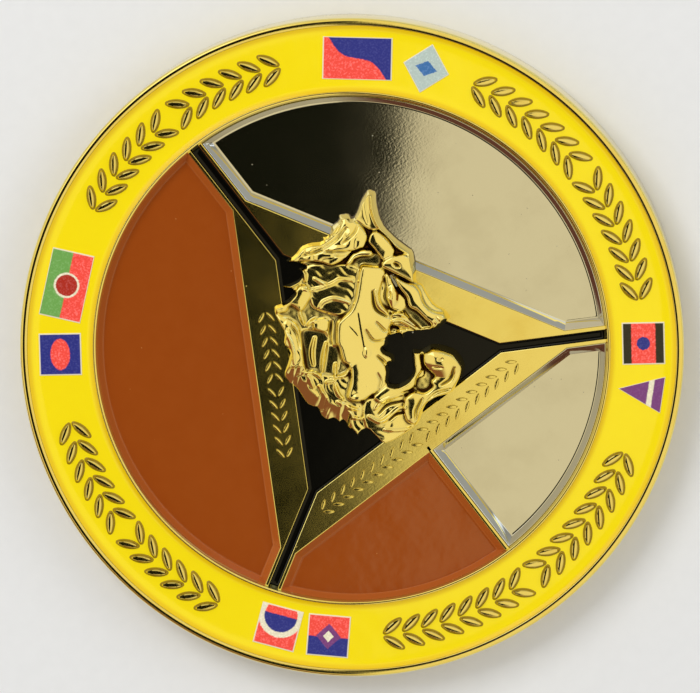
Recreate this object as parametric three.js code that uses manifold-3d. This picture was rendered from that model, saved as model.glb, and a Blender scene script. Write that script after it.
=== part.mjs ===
// Challenge coin: a die-cast gilt body with enamel fills, two nickel mirror trays, printed
// signal flags and a separate high-relief wolf head held by two steady pins.
//
// Units are millimetres. +Z is up with the obverse on top, +Y is the top of the design, and the
// origin is the middle of the reverse rim, on the plane that the coin rests on.
//
// Build order: the blank is turned, its pockets are cut, then every fill is made from
// the same pocket functions with a named clearance, so that a changed size carries through.

import * as THREE from 'three';
import { mergeVertices } from 'three/addons/utils/BufferGeometryUtils.js';
import Module from 'manifold-3d';

const wasm = await Module();
wasm.setup();

// ---------------------------------------------------------------- driving dimensions, mm

// Blank
const COIN_DIAMETER = 50.8;
const RIM_THICKNESS = 4.0;
const RIM_WIDTH = 0.57; // gold wall between the edge and the enamel channel
const EDGE_ROUND = 0.25; // radius that breaks the rim's outer corners

// Reverse
const REVERSE_RIM_WIDTH = 1.1;
const REVERSE_DEPTH = 0.45;
const REVERSE_WALL_RUN = 0.35;
const REVERSE_RING_WIDTH = 0.8; // raised ring that frames the reverse field
const REVERSE_RING_DROP = 0.12; // how far that ring stays below the reverse rim

// Enamel channel around the obverse
const CHANNEL_WIDTH = 5.03;
const CHANNEL_DEPTH = 0.7;
const CHANNEL_ENAMEL_DROP = 0.25; // enamel surface below the rim
const LIP_WIDTH = 0.2; // thin gold lip inside the channel

// Fields inside the lip
const FIELD_DEPTH = 1.1; // pocket floor below the rim
const FIELD_EDGE_SLOPE = 0.5; // run of the field's round wall for each millimetre of depth
const POCKET_WALL_SLOPE = 0.8; // run of the straight pocket walls for each millimetre of depth
const PLATEAU_DROP = 0.3; // triangle frame below the rim
const BROWN_ENAMEL_FILL = 0.3;
const BLACK_ENAMEL_FILL = 0.45;
const MIRROR_SHEET = 0.12; // wall and floor of the nickel trays

// Triangle frame with its arms
const TRIANGLE_SIDE = 28.8;
const FRAME_WIDTH = 2.75;
const TRIANGLE_DROP = 1.6; // centre of the triangle below the coin's centre
const ARM_CHANNEL = 0.72;
const ARM_WALL = 0.27;
const DIVIDER_WIDTH = 0.32;

// Raised laurel sprigs, as rows of leaf pairs: around the enamel channel and, smaller, on two
// strips of the frame
const CHANNEL_SPRIG = { leafLength: 1.8, leafWidth: 0.56, pitch: 1.5, gap: 0.24 };
const STRIP_SPRIG = { leafLength: 0.95, leafWidth: 0.3, pitch: 0.95, gap: 0.14 };
const STRIP_SPRIG_RISE = 0.15;
const LEAF_ANGLE = 36; // degrees between a leaf and the line of its sprig
const LEFT_STRIP_LENGTH = 11.6;
const BASE_STRIP_LENGTH = 19.7;

// Printed signal flags
const FLAG_INK = 0.06;
const FLAG_SQUARE = 3.25;
const FLAG_LONG = 5.3;
const FLAG_DIAMOND_WIDTH = 3.6;
const FLAG_DIAMOND_HEIGHT = 3.85;
const PENNANT_BASE = 2.85;
const PENNANT_LENGTH = 3.45;

// Wolf head
const HEAD_LEAN = -37.9; // degrees that the head is turned from the top of the design
const HEAD_SIDE = 30; // direction of the frame strip that carries the head
const HEAD_OFFSET = new THREE.Vector2(-6.01, -1.87); // from that strip's middle to its origin
const HEAD_SLAB = 0.45; // thickness at the outline
const HEAD_RELIEF = 1.2; // thickness at the highest mass
const PIN_DIAMETER = 1.0;
const PIN_IN_BODY = 0.9;
const PIN_IN_HEAD = 0.35;
const PIN_SEGMENTS = 20;

// Clearances and fineness
const INLAY_CLEARANCE = 0.04; // enamel and trays to the metal beside them
const PIN_CLEARANCE = 0.04;
const HEAD_CLEARANCE = 0.1; // strip sprigs to the head's outline
const ROUND_SEGMENTS = 96;
const EDGE_ROUND_STEPS = 2;
const OVERCUT = 0.2; // how far a cutting solid passes the surface that it opens
const JOIN_DEPTH = 0.1; // how far a sprig is sunk into the metal that it grows from

// ---------------------------------------------------------------- derived levels and radii

const COIN_RADIUS = COIN_DIAMETER / 2;
const CHANNEL_OUTER = COIN_RADIUS - RIM_WIDTH;
const CHANNEL_INNER = CHANNEL_OUTER - CHANNEL_WIDTH;
const CHANNEL_MIDDLE = (CHANNEL_OUTER + CHANNEL_INNER) / 2;
const FIELD_RADIUS = CHANNEL_INNER - LIP_WIDTH;
const RIM_TOP = RIM_THICKNESS;
const CHANNEL_FLOOR = RIM_TOP - CHANNEL_DEPTH;
const CHANNEL_ENAMEL_TOP = RIM_TOP - CHANNEL_ENAMEL_DROP;
const PLATEAU = RIM_TOP - PLATEAU_DROP;
const FIELD_FLOOR = RIM_TOP - FIELD_DEPTH;
const TRIANGLE_CENTRE = new THREE.Vector2(0, -TRIANGLE_DROP);
const FRAME_OUTER = TRIANGLE_SIDE / (2 * Math.sqrt(3)); // centre to the frame's outer edges
const FRAME_INNER = FRAME_OUTER - FRAME_WIDTH;
const FRAME_MIDDLE = (FRAME_OUTER + FRAME_INNER) / 2;
const ARM_HALF = ARM_CHANNEL / 2 + ARM_WALL;

// ---------------------------------------------------------------- layout, degrees from +X

const ARM_ANGLES = [90, 210, 330];
const CHANNEL_SPRIGS = [
  { middle: 90, span: 53 },
  { middle: 0, span: 57.6 },
  { middle: 270, span: 68.4 },
  { middle: 181, span: 52.8 },
];
const STRIP_SPRIGS = [
  { side: 150, length: LEFT_STRIP_LENGTH, shift: 0.6 },
  { side: 270, length: BASE_STRIP_LENGTH, shift: 0 },
];

// Outline of the head in its own frame: x towards the muzzle, y towards the ear, before the lean.
const HEAD_OUTLINE = [
  [1.4, 12.2], [2.2, 10.0], [3.3, 8.6], [4.7, 7.2], [5.0, 5.3], [6.0, 4.0], [7.7, 2.4],
  [6.5, 1.4], [4.2, 1.2], [3.9, 0.8], [3.6, 1.2], [2.9, 0.9], [2.7, 0.0], [3.3, -0.9],
  [3.1, -2.3], [5.0, -2.2], [5.4, -1.3], [4.7, -0.1], [6.1, 0.5], [7.4, 0.3], [8.6, -0.8],
  [8.7, -1.9], [7.9, -3.2], [6.0, -4.2], [5.1, -5.8], [2.6, -7.3], [1.0, -6.1], [0.5, -6.8],
  [-0.7, -5.6], [-2.2, -5.4], [-4.2, -3.3], [-5.1, -2.3], [-4.9, -0.4], [-5.3, 1.5],
  [-5.9, 2.8], [-4.3, 4.3], [-5.7, 4.8], [-4.0, 5.4], [-3.9, 6.3], [-5.3, 6.7], [-3.8, 8.0],
  [-2.2, 8.3], [-1.6, 9.3], [-0.9, 10.2], [0.5, 10.3],
];

// Masses of the relief: centre, half length, half width, turn in degrees and share of the relief.
const HEAD_MASSES = [
  { x: 1.1, y: -1.9, long: 3.4, wide: 2.6, turn: 80, rise: 0.85 }, // cheek
  { x: 1.9, y: 4.6, long: 4.2, wide: 2.2, turn: 100, rise: 0.85 }, // forehead
  { x: 5.0, y: 3.8, long: 3.6, wide: 1.3, turn: -48, rise: 1.0 }, // muzzle
  { x: 7.1, y: -1.3, long: 1.9, wide: 1.7, turn: -60, rise: 0.95 }, // chin
  { x: 4.2, y: -3.9, long: 3.6, wide: 1.3, turn: 18, rise: 0.75 }, // jaw
  { x: 1.4, y: 10.0, long: 2.6, wide: 0.8, turn: 95, rise: 0.75 }, // ear
  { x: -1.4, y: 8.0, long: 3.4, wide: 1.3, turn: 24, rise: 0.7 }, // crest
  { x: -3.2, y: 4.6, long: 3.2, wide: 0.9, turn: 18, rise: 0.6 }, // upper mane
  { x: -4.0, y: 1.0, long: 3.6, wide: 1.2, turn: 98, rise: 0.65 }, // middle mane
  { x: -1.8, y: -3.6, long: 3.4, wide: 1.3, turn: -38, rise: 0.6 }, // lower mane
];
const MASS_SEGMENTS = 14;
const MASS_RINGS = 8;

// Both pins stand in the frame strip that carries the head, at a distance along it.
const PINS = [
  { name: 'steady_pin_forehead', along: 0.4 },
  { name: 'steady_pin_crest', along: 6.4 },
];

// ---------------------------------------------------------------- finishes

const finish = (color, roughness, metalness) => ({ color, roughness, metalness });
const GILT = finish(0xd9b24a, 0.22, 1.0);
const NICKEL = finish(0xd2cfc6, 0.1, 1.0);
const STEEL_PIN = finish(0x9a9a96, 0.4, 1.0);
const YELLOW_ENAMEL = finish(0xfee214, 0.25, 0.0);
const BROWN_ENAMEL = finish(0x964410, 0.22, 0.0);
const BLACK_ENAMEL = finish(0x0f0f0c, 0.15, 0.0);
const ink = (color) => finish(color, 0.35, 0.0);

// ---------------------------------------------------------------- solids

const degrees = THREE.MathUtils.degToRad;

/** Turns a closed three.js geometry into a solid that can be joined and cut. */
function toSolid(geometry) {
  geometry.deleteAttribute('normal');
  geometry.deleteAttribute('uv');
  const merged = mergeVertices(geometry, 1e-5);
  return new wasm.Manifold(new wasm.Mesh({
    numProp: 3,
    vertProperties: new Float32Array(merged.attributes.position.array),
    triVerts: new Uint32Array(merged.index.array),
  }));
}

/** Turns a solid back into a named mesh with its own material. */
function toMesh(name, solid, look) {
  const { vertProperties, triVerts } = solid.getMesh();
  const geometry = new THREE.BufferGeometry();
  geometry.setAttribute('position', new THREE.BufferAttribute(vertProperties, 3));
  geometry.setIndex(new THREE.BufferAttribute(triVerts, 1));
  geometry.computeVertexNormals();
  const mesh = new THREE.Mesh(geometry, new THREE.MeshStandardMaterial(look));
  mesh.name = name;
  return mesh;
}

/** Solid of revolution about Z from [radius, height] points, counter-clockwise seen with +Z up. */
function turned(profile) {
  const points = profile.map(([radius, height]) => new THREE.Vector2(radius, height));
  return toSolid(new THREE.LatheGeometry(points, ROUND_SEGMENTS).rotateX(Math.PI / 2));
}

/** Upright prism over an outline of Vector2 points. */
function prism(outline, bottom, top) {
  const shape = new THREE.Shape(outline);
  const geometry = new THREE.ExtrudeGeometry(shape, { depth: top - bottom, bevelEnabled: false });
  return toSolid(geometry.translate(0, 0, bottom));
}

/** Joins a list of solids. */
function joined(solids) {
  return solids.reduce((all, one) => all.add(one));
}

/** Rectangle, centred, as an outline. */
function rectangle(width, height) {
  const x = width / 2;
  const y = height / 2;
  return [[-x, -y], [x, -y], [x, y], [-x, y]].map(([px, py]) => new THREE.Vector2(px, py));
}

/** Moves an outline: turned by an angle in degrees, then shifted to a centre. */
function placed(outline, centre, angle) {
  const origin = new THREE.Vector2();
  return outline.map((point) => point.clone().rotateAround(origin, degrees(angle)).add(centre));
}

/** Point at a distance from the coin's centre in a direction in degrees. */
function polar(radius, angle) {
  return new THREE.Vector2(radius * Math.cos(degrees(angle)), radius * Math.sin(degrees(angle)));
}

/** Point on the middle line of the frame strip on one side, at a distance along the strip. */
function stripPoint(side, along) {
  return polar(FRAME_MIDDLE, side).add(polar(along, side + 90)).add(TRIANGLE_CENTRE);
}

/** Point of the head's own frame in the coin's frame. */
function fromHead(x, y) {
  const leaned = new THREE.Vector2(x, y).rotateAround(new THREE.Vector2(), degrees(HEAD_LEAN));
  return leaned.add(stripPoint(HEAD_SIDE, 0)).add(HEAD_OFFSET);
}

// ---------------------------------------------------------------- blank

/** Quarter round of the rim's outer corner, from a start angle in degrees. */
function cornerRound(height, start) {
  const centre = COIN_RADIUS - EDGE_ROUND;
  const steps = Array.from({ length: EDGE_ROUND_STEPS + 1 }, (_, index) => index);
  return steps.map((step) => {
    const angle = degrees(start + (90 * step) / EDGE_ROUND_STEPS);
    return [centre + EDGE_ROUND * Math.cos(angle), height + EDGE_ROUND * Math.sin(angle)];
  });
}

/** Turned blank: reverse field, its ring and rim, a plain edge and a plain obverse. */
function turnedBlank() {
  const rimInner = COIN_RADIUS - REVERSE_RIM_WIDTH;
  const ringInner = CHANNEL_INNER - REVERSE_RING_WIDTH;
  return turned([
    [0, REVERSE_DEPTH],
    [ringInner - REVERSE_WALL_RUN, REVERSE_DEPTH],
    [ringInner, REVERSE_RING_DROP],
    [CHANNEL_INNER, REVERSE_RING_DROP],
    [CHANNEL_INNER + REVERSE_WALL_RUN, REVERSE_DEPTH],
    [rimInner - REVERSE_WALL_RUN, REVERSE_DEPTH],
    [rimInner, 0],
    ...cornerRound(EDGE_ROUND, -90),
    ...cornerRound(RIM_TOP - EDGE_ROUND, 0),
    [0, RIM_TOP],
  ]);
}

// ---------------------------------------------------------------- pockets and their fills

/** Ring that fills the enamel channel between two levels, kept inset from both walls. */
function channelRing(inset, bottom, top) {
  const inner = CHANNEL_INNER + inset;
  const outer = CHANNEL_OUTER - inset;
  return turned([[inner, bottom], [outer, bottom], [outer, top], [inner, top], [inner, bottom]]);
}

/** Round plug of the field inside the lip, tapering with depth. */
function fieldPlug(inset, bottom, top) {
  const radiusAt = (level) => FIELD_RADIUS - inset - (RIM_TOP - level) * FIELD_EDGE_SLOPE;
  return turned([[0, bottom], [radiusAt(bottom), bottom], [radiusAt(top), top], [0, top]]);
}

/** Half space beyond a line, its face leaning so that the space narrows with depth. */
function leaningHalfSpace(normal, distance) {
  const size = COIN_DIAMETER * 2;
  const geometry = new THREE.BoxGeometry(size, size, size);
  geometry.translate(size / 2, 0, 0);
  geometry.rotateY(-Math.atan(POCKET_WALL_SLOPE));
  geometry.translate(distance, 0, PLATEAU);
  geometry.rotateZ(degrees(normal));
  geometry.translate(TRIANGLE_CENTRE.x, TRIANGLE_CENTRE.y, 0);
  return toSolid(geometry);
}

/** The four fields, each as the lines that bound it: direction of its inside and distance. */
const FIELDS = {
  left: [[150, FRAME_OUTER], [180, ARM_HALF], [120, ARM_HALF]],
  lower_left: [[270, FRAME_OUTER], [300, ARM_HALF], [180, DIVIDER_WIDTH / 2]],
  lower_right: [[270, FRAME_OUTER], [240, ARM_HALF], [0, DIVIDER_WIDTH / 2]],
  right: [[30, FRAME_OUTER], [60, ARM_HALF], [0, ARM_HALF]],
};

/** Solid of one field between two levels, kept inset from all its walls. */
function fieldSolid(field, inset, bottom, top) {
  const walls = FIELDS[field].map(([normal, edge]) => leaningHalfSpace(normal, edge + inset));
  return walls.reduce((solid, wall) => solid.intersect(wall), fieldPlug(inset, bottom, top));
}

/** Black pocket: the triangle inside the frame with a channel along each arm to the lip. */
function blackSolid(inset, bottom, top) {
  const reach = 2 * (FRAME_INNER - inset);
  const corners = ARM_ANGLES.map((angle) => polar(reach, angle).add(TRIANGLE_CENTRE));
  const channels = ARM_ANGLES.map((angle) => {
    const middle = polar(COIN_RADIUS / 2, angle).add(TRIANGLE_CENTRE);
    return prism(placed(rectangle(COIN_RADIUS, ARM_CHANNEL - 2 * inset), middle, angle), bottom, top);
  });
  const whole = joined([prism(corners, bottom, top), ...channels]);
  return whole.intersect(fieldPlug(inset, bottom, top));
}

/** Thin tray that lines a field's floor and walls. */
function mirrorTray(field) {
  const wall = INLAY_CLEARANCE + MIRROR_SHEET;
  const outside = fieldSolid(field, INLAY_CLEARANCE, FIELD_FLOOR, PLATEAU);
  return outside.subtract(fieldSolid(field, wall, FIELD_FLOOR + MIRROR_SHEET, PLATEAU + OVERCUT));
}

// ---------------------------------------------------------------- laurel sprigs

/** Rhombic leaf from its base at the origin along +X, every side moved out by grow. */
function leafOutline({ leafLength, leafWidth }, grow) {
  const long = leafLength / 2;
  const wide = leafWidth / 2;
  const scale = 1 + (grow * Math.hypot(long, wide)) / (long * wide);
  const corners = [[-long, 0], [0, -wide], [long, 0], [0, wide]];
  return corners.map(([x, y]) => new THREE.Vector2(long + x * scale, y * scale));
}

/**
 * Outlines of one sprig: pairs of leaves on both sides of its line, pointing to its middle.
 * place gives the point and the heading at a distance from the middle.
 */
function sprigOutlines(sprig, length, place, grow) {
  const first = sprig.leafLength * Math.cos(degrees(LEAF_ANGLE)) + sprig.leafWidth / 2;
  const pairs = Math.max(Math.floor((length / 2 - first) / sprig.pitch), 0) + 1;
  const outlines = [];
  for (const half of [-1, 1]) {
    for (let pair = 0; pair < pairs; pair += 1) {
      const { point, heading } = place(half * (first + pair * sprig.pitch));
      const inward = half > 0 ? heading + 180 : heading;
      for (const side of [-1, 1]) {
        const base = polar(sprig.gap / 2, inward + side * 90).add(point);
        outlines.push(placed(leafOutline(sprig, grow), base, inward + side * LEAF_ANGLE));
      }
    }
  }
  return outlines;
}

/** All the sprigs around the channel, as a solid between two levels. */
function channelSprigs(grow, bottom, top) {
  const outlines = CHANNEL_SPRIGS.flatMap(({ middle, span }) => {
    const place = (distance) => {
      const angle = middle - THREE.MathUtils.radToDeg(distance / CHANNEL_MIDDLE);
      return { point: polar(CHANNEL_MIDDLE, angle), heading: angle - 90 };
    };
    return sprigOutlines(CHANNEL_SPRIG, degrees(span) * CHANNEL_MIDDLE, place, grow);
  });
  return joined(outlines.map((outline) => prism(outline, bottom, top)));
}

/** The two sprigs on the frame, without the leaves that the head covers. */
function stripSprigs(head) {
  const solids = STRIP_SPRIGS.flatMap(({ side, length, shift }) => {
    const place = (distance) => {
      return { point: stripPoint(side, distance + shift), heading: side + 90 };
    };
    const wide = sprigOutlines(STRIP_SPRIG, length, place, HEAD_CLEARANCE);
    const rooms = wide.map((outline) => prism(outline, PLATEAU, PLATEAU + HEAD_RELIEF));
    return sprigOutlines(STRIP_SPRIG, length, place, 0)
      .filter((_, index) => rooms[index].intersect(head).isEmpty())
      .map((outline) => prism(outline, PLATEAU - JOIN_DEPTH, PLATEAU + STRIP_SPRIG_RISE));
  });
  return joined(solids);
}

// ---------------------------------------------------------------- wolf head and its pins

/** One rounded mass of the relief, centred on the head's seat. */
function headMass({ x, y, long, wide, turn, rise }) {
  const geometry = new THREE.SphereGeometry(1, MASS_SEGMENTS, MASS_RINGS).rotateX(Math.PI / 2);
  geometry.scale(long, wide, HEAD_RELIEF * rise);
  geometry.rotateZ(degrees(turn + HEAD_LEAN));
  const centre = fromHead(x, y);
  return toSolid(geometry.translate(centre.x, centre.y, PLATEAU));
}

/** Head: a slab over its outline with the masses rising from it, flat underneath. */
function headSolid() {
  const outline = HEAD_OUTLINE.map(([x, y]) => fromHead(x, y));
  const slab = prism(outline, PLATEAU, PLATEAU + HEAD_SLAB);
  const room = prism(outline, PLATEAU, PLATEAU + HEAD_RELIEF + OVERCUT);
  return slab.add(joined(HEAD_MASSES.map(headMass)).intersect(room));
}

/** Upright round pin, or its hole, in the strip that carries the head. */
function pinSolid({ along }, grow) {
  const radius = PIN_DIAMETER / 2 + grow;
  const bottom = PLATEAU - PIN_IN_BODY - grow;
  const top = PLATEAU + PIN_IN_HEAD + grow;
  const centre = stripPoint(HEAD_SIDE, along);
  const geometry = new THREE.CylinderGeometry(radius, radius, top - bottom, PIN_SEGMENTS);
  geometry.rotateX(Math.PI / 2).translate(centre.x, centre.y, (top + bottom) / 2);
  return toSolid(geometry);
}

// ---------------------------------------------------------------- assembly

/** Body: blank less the channel, the fields and the pin holes, plus sprigs. */
function coinBody(head, pinHoles) {
  const above = RIM_TOP + OVERCUT;
  const overPlateau = PLATEAU + OVERCUT;
  let body = turnedBlank();
  body = body.subtract(channelRing(0, CHANNEL_FLOOR, above));
  body = body.subtract(fieldPlug(0, PLATEAU, RIM_TOP));
  for (const field of Object.keys(FIELDS)) {
    body = body.subtract(fieldSolid(field, 0, FIELD_FLOOR, overPlateau));
  }
  body = body.subtract(blackSolid(0, FIELD_FLOOR, overPlateau));
  body = body.subtract(pinHoles);
  body = body.add(channelSprigs(0, CHANNEL_FLOOR - JOIN_DEPTH, RIM_TOP));
  return body.add(stripSprigs(head));
}

/** Yellow enamel: the channel's fill with an opening around every leaf. */
function yellowEnamel() {
  const ring = channelRing(INLAY_CLEARANCE, CHANNEL_FLOOR, CHANNEL_ENAMEL_TOP);
  const openings = channelSprigs(INLAY_CLEARANCE, CHANNEL_FLOOR - OVERCUT, RIM_TOP);
  return ring.subtract(openings);
}

/** Brown enamel of one field. */
function brownEnamel(field) {
  return fieldSolid(field, INLAY_CLEARANCE, FIELD_FLOOR, FIELD_FLOOR + BROWN_ENAMEL_FILL);
}

const SQUARE = rectangle(FLAG_SQUARE, FLAG_SQUARE);
const LONG = rectangle(FLAG_LONG, FLAG_SQUARE);
const DIAMOND = [
  new THREE.Vector2(0, -FLAG_DIAMOND_HEIGHT / 2),
  new THREE.Vector2(FLAG_DIAMOND_WIDTH / 2, 0),
  new THREE.Vector2(0, FLAG_DIAMOND_HEIGHT / 2),
  new THREE.Vector2(-FLAG_DIAMOND_WIDTH / 2, 0),
];
const PENNANT = [
  new THREE.Vector2(0, -PENNANT_LENGTH / 2),
  new THREE.Vector2(PENNANT_BASE / 2, PENNANT_LENGTH / 2),
  new THREE.Vector2(-PENNANT_BASE / 2, PENNANT_LENGTH / 2),
];

const FLAGS = [
  { name: 'flag_wave_long', angle: 50.9, outline: LONG, look: ink(0xfc5042) },
  { name: 'flag_pale_diamond', angle: 37.3, outline: DIAMOND, look: ink(0xb8c8be) },
  { name: 'flag_black_edged_square', angle: -36.3, outline: SQUARE, look: ink(0xe8463c) },
  { name: 'flag_purple_pennant', angle: -45.9, outline: PENNANT, look: ink(0x7d3c7d) },
  { name: 'flag_lozenge_square', angle: 227.6, outline: SQUARE, look: ink(0xb0304c) },
  { name: 'flag_arc_square', angle: 217.5, outline: SQUARE, look: ink(0xe4503c) },
  { name: 'flag_blue_square', angle: 143.5, outline: SQUARE, look: ink(0x2a3c8c) },
  { name: 'flag_green_long', angle: 129.7, outline: LONG, look: ink(0x6eaa50) },
];

/** Printed flag: a thin plate of ink lying on the yellow enamel. */
function flagSolid({ angle, outline }) {
  const centre = polar(CHANNEL_MIDDLE, angle);
  const bottom = CHANNEL_ENAMEL_TOP;
  return prism(placed(outline, centre, angle - 90), bottom, bottom + FLAG_INK);
}

/** Puts every piece into one group. */
function buildCoin() {
  const head = headSolid();
  const pinHoles = joined(PINS.map((pin) => pinSolid(pin, PIN_CLEARANCE)));
  const coin = new THREE.Group();
  coin.add(toMesh('coin_body', coinBody(head, pinHoles), GILT));
  coin.add(toMesh('yellow_enamel_ring', yellowEnamel(), YELLOW_ENAMEL));
  coin.add(toMesh('brown_enamel_left', brownEnamel('left'), BROWN_ENAMEL));
  coin.add(toMesh('brown_enamel_lower', brownEnamel('lower_left'), BROWN_ENAMEL));
  const black = blackSolid(INLAY_CLEARANCE, FIELD_FLOOR, FIELD_FLOOR + BLACK_ENAMEL_FILL);
  coin.add(toMesh('black_enamel_triangle', black, BLACK_ENAMEL));
  coin.add(toMesh('mirror_tray_right', mirrorTray('right'), NICKEL));
  coin.add(toMesh('mirror_tray_lower', mirrorTray('lower_right'), NICKEL));
  coin.add(toMesh('wolf_head', head.subtract(pinHoles), GILT));
  for (const pin of PINS) {
    coin.add(toMesh(pin.name, pinSolid(pin, 0), STEEL_PIN));
  }
  for (const flag of FLAGS) {
    coin.add(toMesh(flag.name, flagSolid(flag), flag.look));
  }
  return coin;
}

export default buildCoin();
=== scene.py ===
"""Looks of a gilt challenge coin: polished metal, soft enamel, printed flags and a wolf in relief.

Every piece is a surface worked out with numpy in millimetres and written to its mesh in metres,
in the frame of the working model: +Z out of the obverse, +Y to the top of the design.
"""

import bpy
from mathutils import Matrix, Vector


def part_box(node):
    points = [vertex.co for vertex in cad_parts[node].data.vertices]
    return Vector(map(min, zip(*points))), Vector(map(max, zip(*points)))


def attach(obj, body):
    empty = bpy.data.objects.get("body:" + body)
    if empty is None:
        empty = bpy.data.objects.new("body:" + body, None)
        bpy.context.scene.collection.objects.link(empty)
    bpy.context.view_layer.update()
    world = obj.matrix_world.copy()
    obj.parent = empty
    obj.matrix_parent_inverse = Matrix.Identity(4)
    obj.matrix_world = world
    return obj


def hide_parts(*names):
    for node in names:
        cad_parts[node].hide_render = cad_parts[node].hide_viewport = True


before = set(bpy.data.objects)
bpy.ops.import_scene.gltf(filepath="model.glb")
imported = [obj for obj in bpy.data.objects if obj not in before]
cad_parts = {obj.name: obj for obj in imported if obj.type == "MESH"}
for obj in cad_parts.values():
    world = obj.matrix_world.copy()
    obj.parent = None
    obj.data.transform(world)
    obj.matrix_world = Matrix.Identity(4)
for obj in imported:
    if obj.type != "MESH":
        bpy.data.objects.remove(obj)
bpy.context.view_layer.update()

import logging
import math
from dataclasses import dataclass, field
from enum import Enum

import bmesh
import bpy
import numpy as np
from mathutils import Matrix, Vector

LOG = logging.getLogger("challenge_coin")
MM = 0.001
BODY = "root"
HEAD_LEAN = math.radians(-37.9)  # the wolf's own frame is turned this far from the design's


# ------------------------------------------------------------------------------ meshes


@dataclass
class Shell:
    """Points in millimetres, quads or other polygons over them, and values kept per point."""

    points: np.ndarray
    faces: list
    values: dict = field(default_factory=dict)

    @staticmethod
    def joined(shells: list) -> "Shell":
        """Puts several shells into one, without merging their points.

        Args:
            shells: Shells that keep the same values.

        Returns:
            The joined shell.
        """
        points, faces, values, offset = [], [], {}, 0
        for shell in shells:
            points.append(shell.points)
            faces += [(part + offset) if isinstance(part, np.ndarray) else
                      [[index + offset for index in face] for face in part]
                      for part in shell.faces]
            offset += len(shell.points)
        for name in shells[0].values:
            values[name] = np.concatenate([shell.values[name] for shell in shells])
        return Shell(np.concatenate(points), faces, values)


def grid_quads(rows: int, columns: int, around: bool = False, closed_rows: bool = False) -> np.ndarray:
    """Quads over a grid of points kept row by row.

    Args:
        rows: Number of rows.
        columns: Number of points in a row.
        around: Whether each row closes on itself.
        closed_rows: Whether the last row joins the first one.

    Returns:
        Indices, four to a quad, turning so that a row's direction leads to the next row.
    """
    row = np.arange(rows if closed_rows else rows - 1)
    column = np.arange(columns if around else columns - 1)
    i, j = np.meshgrid(row, column, indexing="ij")
    i_next, j_next = (i + 1) % rows, (j + 1) % columns
    corners = (i * columns + j, i * columns + j_next, i_next * columns + j_next, i_next * columns + j)
    return np.stack([corner.ravel() for corner in corners], axis=1)


def revolve(profile: np.ndarray, count: int) -> Shell:
    """Surface of revolution: (r, z) becomes (r * cos a, r * sin a, z) for each step a.

    Args:
        profile: Radius and height of each point, in order.
        count: Number of steps round the Z axis.

    Returns:
        The surface, closed if the profile is.
    """
    angle = np.linspace(0.0, 2.0 * np.pi, count, endpoint=False)
    radius = np.repeat(profile[:, :1], count, axis=1)
    height = np.repeat(profile[:, 1:], count, axis=1)
    points = np.stack([radius * np.cos(angle), radius * np.sin(angle), height], axis=-1)
    return Shell(points.reshape(-1, 3), [grid_quads(len(profile), count, around=True)])


def stack(loops: list) -> Shell:
    """Closed shell from loops of equal length, each joined to the next, with both ends filled.

    Args:
        loops: Arrays of points (n by 3), from the first filled end to the last one.

    Returns:
        The closed shell.
    """
    count = len(loops[0])
    last = (len(loops) - 1) * count
    caps = [list(range(count))[::-1], list(range(last, last + count))]
    return Shell(np.concatenate(loops), [grid_quads(len(loops), count, around=True), caps])


def arc(centre: tuple, radius: float, start: float, end: float, steps: int) -> list:
    """Points of a round corner, centre + radius * (cos a, sin a), with the angles in degrees."""
    angle = np.radians(np.linspace(start, end, steps + 1))
    return [(centre[0] + radius * math.cos(a), centre[1] + radius * math.sin(a)) for a in angle]


def level(points: np.ndarray, height: float) -> np.ndarray:
    """Gives flat points (n by 2) one height."""
    return np.column_stack([points, np.full(len(points), height)])


def turned(points: np.ndarray, angle: float) -> np.ndarray:
    """Turns the x and y of points about Z by an angle in radians."""
    cosine, sine = math.cos(angle), math.sin(angle)
    moved = points.copy()
    moved[..., 0] = points[..., 0] * cosine - points[..., 1] * sine
    moved[..., 1] = points[..., 0] * sine + points[..., 1] * cosine
    return moved


def make_piece(name: str, shell: Shell, material: bpy.types.Material, node: str,
               crease: float = 35.0, weld: bool = True) -> bpy.types.Object:
    """Args:
        name: Name of the piece.
        shell: Points in millimetres, faces and values.
        material: Finish of the whole piece.
        node: CAD node that the piece stands for.
        crease: Angle in degrees above which an edge stays sharp.
        weld: Whether doubled points are merged and the normals worked out again.

    Returns:
        The object, at the origin, with its place in its mesh.
    """
    mesh = bpy.data.meshes.new(name)
    faces = [face for part in shell.faces
             for face in (part.tolist() if isinstance(part, np.ndarray) else part)]
    mesh.from_pydata((shell.points * MM).tolist(), [], faces)
    for key, value in shell.values.items():
        if value.ndim == 1:
            mesh.attributes.new(key, "FLOAT", "POINT").data.foreach_set("value", value.astype(np.float32))
        else:
            flat = np.column_stack([value, np.zeros(len(value))]).astype(np.float32).ravel()
            mesh.attributes.new(key, "FLOAT_VECTOR", "POINT").data.foreach_set("vector", flat)
    if weld:
        edit = bmesh.new()
        edit.from_mesh(mesh)
        bmesh.ops.remove_doubles(edit, verts=edit.verts, dist=1e-7)
        bmesh.ops.dissolve_degenerate(edit, edges=edit.edges, dist=1e-8)
        bmesh.ops.recalc_face_normals(edit, faces=edit.faces)
        edit.to_mesh(mesh)
        edit.free()
    mesh.polygons.foreach_set("use_smooth", np.ones(len(mesh.polygons), bool))
    mesh.set_sharp_from_angle(angle=math.radians(crease))
    mesh.materials.append(material)
    piece = bpy.data.objects.new(name, mesh)
    bpy.context.scene.collection.objects.link(piece)
    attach(piece, BODY)
    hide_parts(node)
    LOG.info("%s: %d points, %d faces", name, len(mesh.vertices), len(mesh.polygons))
    return piece


# ------------------------------------------------------------------------------ finishes


Socket = bpy.types.NodeSocket
Number = float | Socket
Tint = tuple | Socket


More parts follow.
